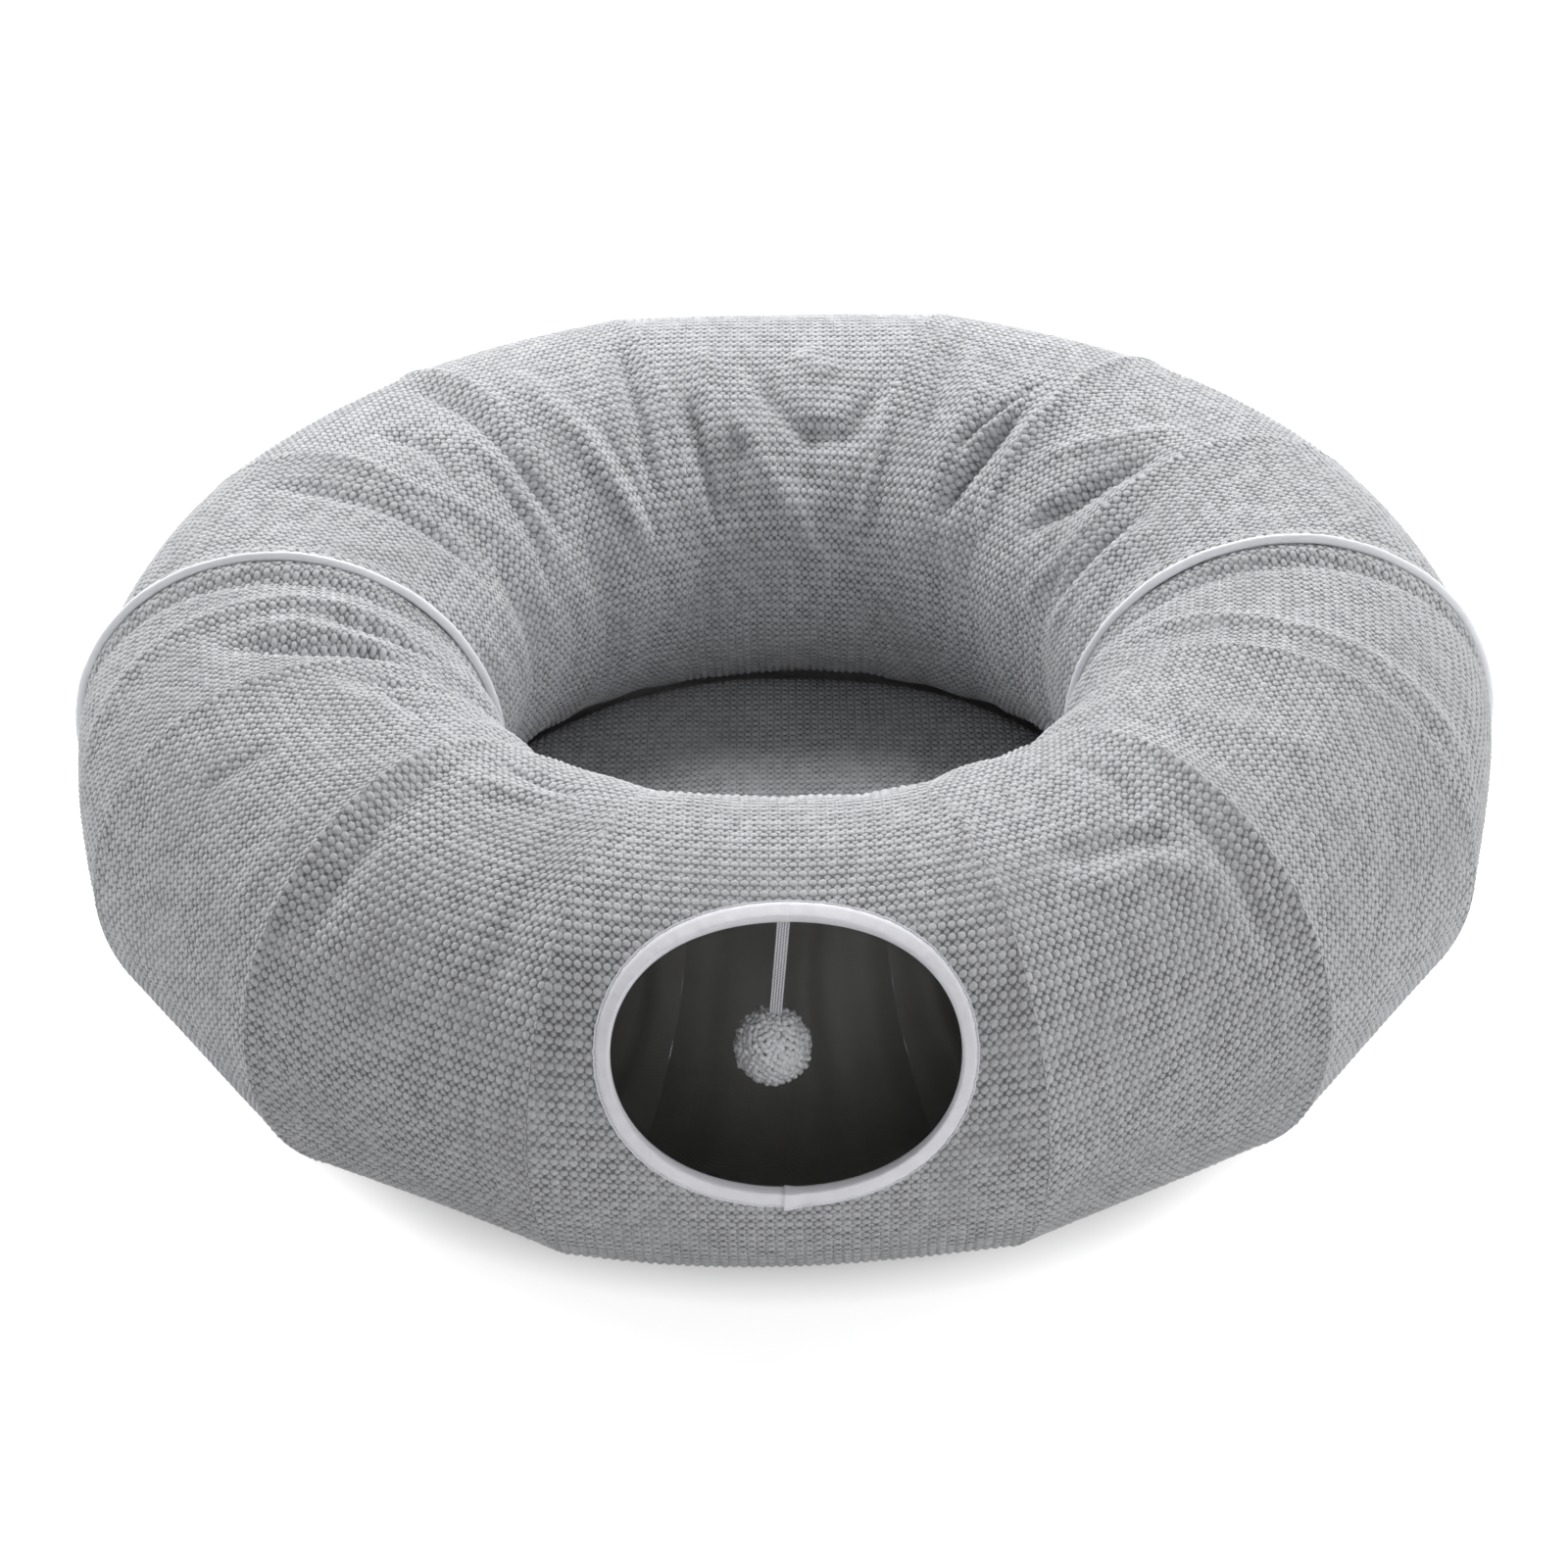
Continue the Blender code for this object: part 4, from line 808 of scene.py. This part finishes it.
def material_of(name):
    """Each finish is made once. A cloth has a name, colour, thread, contrast, roughness, sheen and cloudiness."""
    colours = bpy.context.scene.tunnel_colours
    # Threads of 0.1 to 0.4 mm are drawn at 0.5 to 1 mm, so that the weave shows at all.
    cloths = {
        # Woven polyester: a smooth face with a dull gloss that clouds where it hangs slack.
        # Its colour is lighter than the real cloth: painted light for the light that comes through the cover.
        "lining": ("woven_polyester_lining", colours.lining, 0.0006, 0.06, 0.55, 0.15, 0.12),
        # Satin weave: so even that it reads as one glossy white cord.
        "satin": ("satin_piping", colours.satin, 0.0005, 0.02, 0.38, 0.1, 0.02),
        # Spun chenille yarn: matte, with fibres that catch light at the rim of each curl.
        # Its colour is near white, lighter than the grey yarn: painted light for the shade the pompom hangs in.
        "yarn": ("chenille_yarn", colours.yarn, 0.0009, 0.16, 0.95, 0.3, 0.12),
        # Narrow woven tape: close dark threads without gloss.
        "tape": ("woven_zip_tape", linear("#7C7D80"), 0.0007, 0.08, 0.75, 0.1, 0.03),
        # Drawn nylon wound in a coil: smooth, so that each tooth takes its own small light.
        "coil": ("nylon_coil", linear("#88898C"), 0.0008, 0.04, 0.4, 0.0, 0.02),
        # Coarse cloth with grip dots pressed in: nearly black and dull.
        "base": ("non_slip_base_cloth", linear("#333335"), 0.0010, 0.1, 0.85, 0.1, 0.05),
    }
    metals = {
        # Drawn and tempered steel wire: thin sharp streaks of light along it.
        "wire": ("spring_steel_wire", "#A9AAAC", 0.32),
        # Die-cast zinc with nickel plate: bright and a little worn.
        "slider": ("nickel_plated_zinc", "#B7B8BA", 0.25),
    }
    if name not in _made:
        if name in cloths:
            _made[name] = woven_cloth(*cloths[name])
        elif name in metals:
            _made[name] = metal(*metals[name])
        else:
            _made[name] = {"chenille": bobble_chenille, "cotton": stitched_tape, "elastic": ribbed_band}[name]()
    return _made[name]


# Pieces.

def stretch(piece):
    """Bakes the piece's placing into its points."""
    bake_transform(piece)


def declare_sheet(bay, part):
    """Works out two widths of a bay's cloth, at level and at the top of the section, and uses neither."""
    share = 2 if part else 1
    widest = float(2 * bay.half_width(np.array(0.0))) / share + sum(bay.run_out)
    mean = float(2 * bay.half_width(np.array(math.pi / 2))) / share + sum(bay.run_out)


def make_bays(make, word, node, run_outs):
    """One layer of cloth in every bay of both halves. At the joint it runs out past the end hoop, and at the other
    hoops it laps on, by the two lengths given for each half. The porthole bay is made in a left and a right part."""
    for side in (FRONT, REAR):
        past, lap = run_outs[side]
        for number in range(LAST_BAY + 1):
            bay = Bay(side, number, (past if number == 0 else lap, past if number == LAST_BAY else lap))
            whole = f"{SIDE_NAMES[side]}_{number + 1}"
            for part in ("left", "right") if number == PORTHOLE_BAY else (None,):
                piece, across = make(f"{word}_{whole}_{part}" if part else f"{word}_{whole}", bay, part)
                stretch(piece)
                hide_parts(f"{node}_{whole}_porthole" if part else f"{node}_{whole}")
                declare_sheet(bay, part)


class TUNNEL_OT_covers(Operator):
    """Makes the bobble cloth of every bay"""

    bl_idname = "tunnel.covers"
    bl_label = "Bobble cloth"

    def execute(self, context):
        run_outs = {FRONT: (END_HOOP_OFFSET - (2 * PIPING_RADIUS + 2 * GAP), 0.0), REAR: (END_HOOP_OFFSET - GAP, 0.0)}
        make_bays(cover_piece, "cloth", "cover", run_outs)
        return {"FINISHED"}


def lining_piece(name, bay, part):
    """One bay of lining: the tube's section a little further in, with soft folds across the bay that grow towards its
    middle, and a slight hang under the crown. It faces into the tunnel."""
    columns, rows = (44, 260) if part else (28, 180)
    theta = np.repeat(turns(rows)[:, None], columns, 1)
    half = bay.half_width(theta)
    low = 0 if part == "right" else -half - bay.run_out[0]
    high = 0 if part == "left" else half + bay.run_out[1]
    along = low + (high - low) * np.linspace(0, 1, columns)
    across = 0.5 + along / (2 * half)
    arch = np.clip(4 * across * (1 - across), 0, 1)
    turn = bay.number * 1.7 + (bay.side == REAR) * 0.9
    wide = 1.0 if bay.number == PORTHOLE_BAY else 0.6
    sway = 0.7 * np.sin(theta * 2 + turn) + 0.5 * np.sin(theta * 5 + turn * 3)
    fold = np.sin(across * 19 * wide + turn * 3 + sway) + 0.7 * np.sin(across * 37 * wide + turn + 1.4 * sway)
    ridge = np.exp(-((across - 0.33 + 0.05 * sway) * 16 / wide) ** 2)
    crease = ridge - np.exp(-((across - 0.71 + 0.04 * sway) * 13 / wide) ** 2)
    hang = 0.004 * np.maximum(np.sin(theta), 0) ** 2
    radius = LINING_INNER - arch * (0.0012 + 0.0016 * (1 + 0.6 * fold) + 0.0022 * (1 + crease) + hang)
    radius = np.minimum(radius, cover_radius(bay, along, theta) - LINING_ROOM)
    spread = porthole_spread(along, theta)
    if part:
        sewn = PINCH_RADIUS - SEWN_DEPTH
        radius = np.minimum(radius, sewn + np.maximum(spread - 1, 0) * 0.004)
        radius = np.where(spread < 1.2, sewn, radius)
    points, across = bay.points(along, theta, radius)
    quads = grid_faces(rows, columns, close_rows=True)[:, ::-bay.side]
    if part:
        quads = quads[(spread.ravel()[quads] > LINING_CUT).all(-1)]
    points, quads, across, _ = used_only(points.reshape(-1, 3), quads, across.ravel())
    return make_piece(name, points, quads, material_of("lining")), across


class TUNNEL_OT_linings(Operator):
    """Makes the smooth lining of every bay"""

    bl_idname = "tunnel.linings"
    bl_label = "Lining"

    def execute(self, context):
        run_outs = dict.fromkeys((FRONT, REAR), (END_HOOP_OFFSET - LINING_END, LINING_LAP))
        make_bays(lining_piece, "inside", "lining", run_outs)
        return {"FINISHED"}


class TUNNEL_OT_piping(Operator):
    """Makes the satin piping at both ends of the front half"""

    bl_idname = "tunnel.piping"
    bl_label = "Piping"

    def execute(self, context):
        theta, around = turns(360), turns(14)
        circle = np.stack([PIPING_RADIUS * np.cos(around), PIPING_RADIUS * np.sin(around)], -1)[None]
        for edge, body in ((-1, "root"), (1, "front_hoop_8")):
            plane = joint_plane(FRONT, 90 * edge, PIPING_RADIUS + GAP / 2)
            radius = PIPING_CENTRE + 0.00025 * np.sin(theta * 9 + edge) + 0.00015 * np.sin(theta * 23)
            path = section_points(plane, theta, radius)
            path[:, 2] = np.maximum(path[:, 2], PIPING_RADIUS * PIPING_STRETCH + GAP)
            thick = 1 - 0.05 * np.sin(theta * 41 + edge) ** 2
            outline = circle * [PIPING_STRETCH, 1] * thick[:, None, None]
            points, faces = swept(path, outwards(plane, theta), plane.onward[None], outline, closed=True)
            name = EDGE_NAMES[edge]
            piece = make_piece(f"satin_piping_{name}", points, turned_out(points, faces, path[0]), material_of("satin"))
            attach(piece, body)
            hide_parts(f"piping_{name}")
        return {"FINISHED"}


def binding_piece(side, word, start, stop):
    """Half of a porthole's folded tape: its outline carried round an ellipse on the cloth, with small puckers as sums
    of sines. The right half's lower end laps over the left half's. The left half's upper end closes over the right's,
    so that no seam shows there."""
    bay = Bay(side, PORTHOLE_BAY)
    place, level = np.array(BINDING_OUTLINE).T
    turn = np.radians(np.linspace(start, stop, BINDING_STEPS))[:, None]
    pucker = 0.020 * np.sin(turn * 47) + 0.018 * np.sin(turn * 83 + 1) + 0.012 * np.sin(turn * 19 + 2)
    spread = place + pucker * (place > 0.5) - 0.42 * np.sin(turn) ** 2 * smooth_step(0.5 - place, 0, 0.5)
    rise = np.where(level > 0, 1 + 1.6 * pucker * np.cos(place * 3), 1)
    lift = level * rise * ((BINDING_TOP - BINDING_BOTTOM) / 2)
    past = np.degrees(turn - turn[0])
    if word == "left":
        over = 1 - smooth_step(past, 1.0, 3.0)
        lift = lift * (1 + 0.04 * over)
        spread = spread + 0.012 * over * np.sign(place - 0.4)
    else:
        lift = lift + 0.0016 * np.exp(-(past / 5.0) ** 4) * (level > 0)
        spread = spread + 0.16 * np.exp(-(past / 3.0) ** 2) * np.sign(place - 0.4)
    height = PORTHOLE_HALF_HEIGHT + BINDING_WIDTH * spread
    theta = math.radians(PORTHOLE_ANGLE) + height * np.sin(turn) / TUBE_RADIUS
    along = (PORTHOLE_HALF_WIDTH + BINDING_WIDTH * spread) * np.cos(turn)
    points, across = bay.points(along, theta, (BINDING_TOP + BINDING_BOTTOM) / 2 + lift)
    middle = points[0].mean(0)
    points = points.reshape(-1, 3)
    groups = tube_faces(BINDING_STEPS, len(place))
    run = np.repeat(np.abs(turn - turn[0]) * PORTHOLE_HALF_WIDTH, len(place), 1)
    stitches = {"stitch_line": np.broadcast_to(place, spread.shape).ravel(), "stitch_run": run.ravel()}
    piece = make_piece(f"bias_tape_{SIDE_NAMES[side]}_{word}", points, turned_out(points, groups, middle),
                       material_of("cotton"), attributes=stitches, flat_ends=len(groups[-1]))
    stretch(piece)
    return piece


class TUNNEL_OT_bindings(Operator):
    """Makes the folded tape round both portholes, each in a left and a right half"""

    bl_idname = "tunnel.bindings"
    bl_label = "Porthole binding"

    def execute(self, context):
        for side in (FRONT, REAR):
            for word, start, stop in (("right", -91.7, 90), ("left", 88.7, 270)):
                piece = binding_piece(side, word, start, stop)
                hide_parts(f"binding_{SIDE_NAMES[side]}")
        return {"FINISHED"}


class TUNNEL_OT_pompom(Operator):
    """Makes the elastic and the pompom on it"""

    bl_idname = "tunnel.pompom"
    bl_label = "Elastic and pompom"

    def execute(self, context):
        radius = np.array(PINCH_RADIUS - ELASTIC_DROP - ELASTIC_WIDTH / 2)
        upper, _ = Bay(FRONT, PORTHOLE_BAY).points(np.array(0.0), np.array(math.radians(ELASTIC_ANGLE)), radius)
        lean = math.radians(ELASTIC_LEAN)
        down = np.array([-math.sin(lean), 0, -math.cos(lean)])
        make_elastic(upper, down)
        centre = upper + down * ELASTIC_LENGTH + down * (POMPOM_RADIUS + POMPOM_CROWN_GAP)
        for piece in (make_curls(centre), make_core(centre)):
            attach(piece, "pompom")
            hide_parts("pompom")
        return {"FINISHED"}


def make_elastic(upper, down):
    """A flat ribbed band: a thin oblong outline, whose broad faces rise in five ribs, carried straight down."""
    across = np.linspace(-1, 1, ELASTIC_RIBS * 6 + 1)
    rise = 0.00034 + 0.00012 * np.abs(np.sin((across + 1) / 2 * ELASTIC_RIBS * math.pi))
    edge = np.sqrt(np.maximum(1 - np.abs(across) ** 14, 0))
    front = np.stack([across * ELASTIC_WIDTH / 2, -rise * edge], -1)
    back = np.stack([across[-2:0:-1] * ELASTIC_WIDTH / 2, rise[-2:0:-1] * edge[-2:0:-1]], -1)
    outline = np.concatenate([front, back])
    run = np.linspace(-ELASTIC_WIDTH / 2, ELASTIC_LENGTH, 75)
    path = upper + down * run[:, None]
    weave = 1 + 0.05 * np.sin(run * 2 * math.pi / 0.0021)[:, None, None]
    sideways = np.array([[-down[2], 0, down[0]]])
    points, faces = swept(path, sideways, np.array([[0, 1.0, 0]]), outline * np.where([True, False], 1, weave))
    weave_places = {"width_place": np.tile(outline[:, 0], len(run)), "run": np.repeat(run, len(outline))}
    piece = make_piece("ribbed_elastic", points, turned_out(points, faces, path[0]), material_of("elastic"),
                       attributes=weave_places)
    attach(piece, "elastic")
    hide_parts("elastic_strap")


def make_curls(centre):
    """A ball of yarn curls: short bowed tubes stand all over the ball at places of a sunflower spiral."""
    random = np.random.default_rng(7)
    count = bpy.context.scene.tunnel_sizes.pompom_tufts
    place = np.arange(count) + 0.5
    level = 1 - 2 * place / count
    turn = place * math.pi * (3 - math.sqrt(5))
    out = np.stack([np.sqrt(1 - level ** 2) * np.cos(turn), np.sqrt(1 - level ** 2) * np.sin(turn), level], -1)
    side = np.cross(out, random.normal(size=(count, 3)))
    side = (side / np.linalg.norm(side, axis=1, keepdims=True))[:, None]
    steps, sides = 7, 6
    bow = np.linspace(-0.15, math.pi + 0.15, steps)
    reach, height, base = (low + more * random.random((count, 1)) for low, more in (
        (0.0010, 0.0010), (0.0012, 0.0018), (POMPOM_RADIUS - 0.0046, 0.0012)))
    path = (out * base)[:, None] + side * (reach * np.cos(bow))[..., None]
    out = out[:, None]
    path = path + out * (height * np.sin(bow))[..., None]
    along = side * (-np.sin(bow))[:, None] + out * np.cos(bow)[:, None]
    third = np.repeat(np.cross(out, side), steps, 1)
    second = np.cross(third, along)
    around = turns(sides)[:, None]
    thick = YARN_RADIUS * (1 + 0.28 * np.sin(bow * 4 + random.random((count, 1)) * 6))
    rings = third[:, :, None] * np.cos(around) + second[:, :, None] * np.sin(around)
    points = centre + (path[:, :, None] + thick[..., None, None] * rings).reshape(-1, 3)
    starts = (np.arange(count) * steps * sides)[:, None, None]
    groups = [(group + starts).reshape(-1, group.shape[1]) for group in tube_faces(steps, sides)]
    return make_piece("yarn_curls", points, turned_out(points, groups, centre + path[0, 0]), material_of("yarn"))


def make_core(centre):
    """The ball under the curls, stored ring after ring from its top to its bottom."""
    rings, columns = 22, 32
    polar = np.linspace(0.14, math.pi - 0.14, rings)[:, None]
    turn = turns(columns)[None]
    ball = np.stack([np.sin(polar) * np.cos(turn), np.sin(polar) * np.sin(turn), np.cos(polar) + 0 * turn], -1)
    points = (centre + ball * (POMPOM_RADIUS - 0.0052)).reshape(-1, 3)
    return make_piece("yarn_core", points, turned_out(points, tube_faces(rings, columns), centre), material_of("yarn"))


def mat_outline(rounds=4):
    """The mat's profile with its corners cut, where each round puts two points at a quarter and three quarters of
    every stretch, and the length along it up to each point."""
    points = np.array(MAT_PROFILE)
    for _ in range(rounds):
        near, far = points[:-1], points[1:]
        inner = np.stack([near * 0.75 + far * 0.25, near * 0.25 + far * 0.75], 1).reshape(-1, 2)
        points = np.concatenate([points[:1], inner[1:-1], points[-1:]])
    return points, np.concatenate([[0], np.cumsum(np.hypot(*np.diff(points, axis=0).T))])


def make_cushion():
    """The mat's cushion: its outline followed by arc length, so that a flat (x, y) place goes straight out over the
    crown, round the edge and under it and the cloth's rows stay straight on top. Its crown is a little uneven, as a
    sum of sines, and carries bobbles along the normal."""
    sizes = bpy.context.scene.tunnel_sizes
    profile, lengths = mat_outline()
    reach = lengths[-1]
    step_x, step_y = sizes.bobble_pitch / 4, SECTION_LENGTH / sizes.bobble_rows / 3
    count_x, count_y = int(reach / step_x) + 1, int(reach / step_y) + 1
    x, y = np.meshgrid(np.arange(-count_x, count_x + 1), np.arange(-count_y, count_y + 1))
    plan = np.stack([x * step_x, y * step_y], -1).astype(float)
    distance = np.linalg.norm(plan, axis=-1)
    plan = plan * np.minimum(1, reach / np.maximum(distance, 1e-9))[..., None]

    def ground(plan_x, plan_y):
        """The cushion's cloth under the bobbles."""
        flat = np.stack([plan_x, plan_y], -1)
        away = np.linalg.norm(flat, axis=-1)
        radius, height = (np.interp(away, lengths, profile[:, axis]) for axis in (0, 1))
        way = flat / np.maximum(away, 1e-9)[..., None]
        soft = 0.0012 * np.sin(plan_x * 23 + 1) * np.sin(plan_y * 19) + 0.0008 * np.sin(plan_x * 51 + plan_y * 37)
        height = height + (soft * smooth_step(height, 0.012, 0.030)
                           - sizes.bobble_height * smooth_step(height, 0.0, 0.02))
        return np.stack([way[..., 0] * radius, way[..., 1] * radius, height], -1)

    fade = smooth_step(reach - np.minimum(distance, reach), 0, 0.006)
    height = bobbles(x / 4, y / 3, 900) * sizes.bobble_height * fade
    normal = normals_of(ground, plan[..., 0], plan[..., 1], SLOPE_STEP, SLOPE_STEP)
    points = ground(plan[..., 0], plan[..., 1]) + normal * height[..., None]
    quads = grid_faces(*x.shape)
    quads = quads[(distance < reach + step_y).ravel()[quads].all(-1)]
    places = np.stack([x.ravel()[quads] / 4, y.ravel()[quads] / 3], -1)
    points, quads, _, places = used_only(points.reshape(-1, 3), quads, places=places)
    return make_piece("mat_cushion", points, quads, material_of("chenille"), places=places)


def make_underside():
    """The mat's base cloth: rings of points just over the floor, uneven by a product of sines."""
    rings, columns = 24, 180
    radius = np.linspace(0.004, MAT_BASE_RADIUS + 0.001, rings)[:, None]
    turn = turns(columns)[None]
    level = 0.0006 + 0.0004 * np.sin(radius * 70) * np.sin(turn * 5)
    points = np.stack([radius * np.cos(turn), radius * np.sin(turn), level], -1).reshape(-1, 3)
    wall, ends = tube_faces(rings, columns)
    return make_piece("mat_underside", points, [wall, ends[:columns - 2]], material_of("base"))


class TUNNEL_OT_mat(Operator):
    """Makes the mat in the well: a bobble cloth cushion over a plain base cloth"""

    bl_idname = "tunnel.mat"
    bl_label = "Mat"

    def execute(self, context):
        cushion, base = make_cushion(), make_underside()
        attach(cushion, "mat")
        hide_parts("mat_cover", "mat_filling")
        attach(base, "mat")
        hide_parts("mat_base")
        return {"FINISHED"}


class TUNNEL_OT_zips(Operator):
    """Makes the zips' woven tapes and moulded coils, and finishes the sliders and pull tabs"""

    bl_idname = "tunnel.zips"
    bl_label = "Zips"

    def execute(self, context):
        for edge, side, body, node in ((-1, FRONT, "root", "zip_left"), (-1, REAR, "root", "zip_left"),
                                       (1, FRONT, "front_hoop_8", "zip_right_front"),
                                       (1, REAR, "rear_hoop_8", "zip_right_rear")):
            for kind in ("tape", "coil"):
                piece = strip_piece(kind, edge, side)
                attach(piece, body)
                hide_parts(node)
        for name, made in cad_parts.items():
            if name.startswith(("slider", "tab", "pull")):
                finish_node(made, "slider")
        return {"FINISHED"}


def strip_piece(kind, edge, side):
    """A zip's tape or coil: a flat rounded outline, whose corners sharpen with a smaller power of sine and cosine,
    carried round the section beside the joint. A coil shrinks by a cosine between its teeth."""
    coil = kind == "coil"
    (low, high), half_thick, steps = ((COIL_SPAN, COIL_HALF_THICK, COIL_STEPS) if coil
                                      else (TAPE_SPAN, TAPE_HALF_THICK, TAPE_STEPS))
    theta = np.radians(np.linspace(ZIP_START, ZIP_END, steps))
    plane = joint_plane(side, 90 * edge, 0.0)
    path = section_points(plane, theta, np.full(steps, ZIP_RADIUS)) - plane.onward * ((low + high) / 2)
    around = turns(10)
    thin, wide = (np.sign(wave) * np.abs(wave) ** (0.5 if coil else 0.3) * half
                  for wave, half in ((np.sin(around), half_thick), (np.cos(around), (high - low) / 2)))
    teeth = 1 - 0.22 * (0.5 + 0.5 * np.cos(theta * ZIP_RADIUS * 2 * math.pi / TOOTH_PITCH)) if coil else np.ones(steps)
    outline = np.stack([thin, wide], -1) * teeth[:, None, None]
    points, faces = swept(path, outwards(plane, theta), plane.onward[None], outline)
    name = f"zip_{kind}_{EDGE_NAMES[edge]}_{SIDE_NAMES[side]}"
    return make_piece(name, points, turned_out(points, faces, path[0]), material_of(kind))


def finish_node(made, finish):
    """Gives a carried-over solid its finish."""
    for slot in made.material_slots:
        slot.material = material_of(finish)


class TUNNEL_OT_hoops(Operator):
    """Finishes the spring wire hoops"""

    bl_idname = "tunnel.hoops"
    bl_label = "Spring hoops"

    def execute(self, context):
        for name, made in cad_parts.items():
            if name.startswith("hoop"):
                finish_node(made, "wire")
        return {"FINISHED"}


class TUNNEL_OT_stage(Operator):
    """Makes the floor, the lights, the background and the camera"""

    bl_idname = "tunnel.stage"
    bl_label = "Floor, lights and camera"

    def execute(self, context):
        make_floor()
        make_lights()
        make_camera()
        return {"FINISHED"}


def seen_directly(tree):
    """1 for what the camera sees by itself or in a gloss, and 0 for light that only falls on things."""
    path = add_node(tree, "LightPath")
    return path, add_node(tree, "Math", {"operation": "MAXIMUM", 0: path.outputs["Is Camera Ray"],
                                         1: path.outputs["Is Glossy Ray"]})


def make_floor():
    """A plain pale floor whose own white shows to the camera, with the object's shadow on it."""
    size = 6.0
    points = np.array([(-size, -size, 0), (size, -size, 0), (size, size, 0), (-size, size, 0)], float)
    material, shader, add = new_material("pale_floor")
    _, seen = seen_directly(material.node_tree)
    away = add("VectorMath", {"operation": "LENGTH", 0: add("TexCoord")})
    beyond = add("MapRange", {"From Min": 0.36, "From Max": 0.44, "To Max": 0.72, "Value": away.outputs["Value"]})
    glow = add("Math", {"operation": "MULTIPLY", 0: seen, 1: beyond})
    fill(shader, {"Base Color": (0.82, 0.82, 0.82, 1), "Roughness": 0.9, "Emission Color": (1, 1, 1, 1),
                  "Emission Strength": glow})
    floor = make_piece("floor", points, np.array([[0, 1, 2, 3]]), material, smooth=False)


def make_lights():
    """Broad soft lights: above and behind, low behind, at both sides, and two weak ones in front, in a faint
    surrounding that the camera sees as white."""
    for name, (place, aim_height, power) in LAMPS.items():
        lamp = bpy.data.lights.new(name, "AREA")
        lamp.shape, lamp.size, lamp.energy = "DISK", LAMP_SIZE, power
        made = bpy.data.objects.new(name, lamp)
        bpy.context.scene.collection.objects.link(made)
        made.location = place
        made.rotation_euler = (Vector((0, 0, aim_height)) - Vector(place)).to_track_quat("-Z", "Y").to_euler()
    world = bpy.data.worlds.new("studio")
    bpy.context.scene.world = world
    world.use_nodes = True
    world.node_tree.nodes.clear()
    add = partial(add_node, world.node_tree)
    path, direct = seen_directly(world.node_tree)
    seen = add("Math", {"operation": "MAXIMUM", 0: direct, 1: path.outputs["Is Transmission Ray"]})
    dim, white = (add("Background", {"Color": (1, 1, 1, 1), "Strength": strength})
                  for strength in (SURROUNDING_LIGHT, 1.0))
    add("OutputWorld", {"Surface": add("MixShader", {0: seen, 1: dim, 2: white})})


def make_camera():
    """The photograph's view: height angle, distance, lens, roll and a small shift, aimed at the tube's middle."""
    elevation, azimuth, roll = (math.radians(angle) for angle in (CAMERA_ELEVATION, CAMERA_TURN, CAMERA_ROLL))
    level = math.cos(elevation)
    back = Vector((math.sin(azimuth) * level, -math.cos(azimuth) * level, math.sin(elevation)))
    right = (-back).cross(Vector((0, 0, 1))).normalized()
    upward = right.cross(-back)
    across = right * math.cos(roll) + upward * math.sin(roll)
    upright = upward * math.cos(roll) - right * math.sin(roll)
    data = bpy.data.cameras.new("camera")
    data.sensor_width = CAMERA_SENSOR
    data.lens = CAMERA_LENS
    data.shift_y = CAMERA_SHIFT
    camera = bpy.data.objects.new("camera", data)
    scene = bpy.context.scene
    scene.collection.objects.link(camera)
    turn = Matrix((across, upright, back)).transposed().to_4x4()
    camera.matrix_world = Matrix.Translation(Vector(CAMERA_AIM) + back * CAMERA_DISTANCE) @ turn
    scene.camera = camera
    scene.view_settings.view_transform = "Standard"


class TUNNEL_PT_panel(Panel):
    """The tunnel's pieces and settings"""

    bl_label = "Cat tunnel"
    bl_idname = "TUNNEL_PT_panel"
    bl_space_type = "VIEW_3D"
    bl_region_type = "UI"
    bl_category = "Cat tunnel"

    def draw(self, context):
        for group in (context.scene.tunnel_sizes, context.scene.tunnel_colours):
            for name in group.__annotations__:
                self.layout.prop(group, name)
        for operator in OPERATORS:
            self.layout.operator(operator.bl_idname)


OPERATORS = (TUNNEL_OT_covers, TUNNEL_OT_linings, TUNNEL_OT_piping, TUNNEL_OT_bindings, TUNNEL_OT_pompom,
             TUNNEL_OT_mat, TUNNEL_OT_zips, TUNNEL_OT_hoops, TUNNEL_OT_stage)
CLASSES = (TunnelSizes, TunnelColours) + OPERATORS + (TUNNEL_PT_panel,)


def register():
    """Adds the add-on's classes and the scene's settings to Blender."""
    for made in CLASSES:
        bpy.utils.register_class(made)
    bpy.types.Scene.tunnel_sizes = PointerProperty(type=TunnelSizes)
    bpy.types.Scene.tunnel_colours = PointerProperty(type=TunnelColours)


def unregister():
    """Takes them out again."""
    del bpy.types.Scene.tunnel_colours
    del bpy.types.Scene.tunnel_sizes
    for made in reversed(CLASSES):
        bpy.utils.unregister_class(made)


def main():
    """Runs every operator in order."""
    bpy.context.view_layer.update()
    register()
    for operator in OPERATORS:
        group, name = operator.bl_idname.split(".")
        getattr(getattr(bpy.ops, group), name)()


if __name__ == "__main__":
    main()
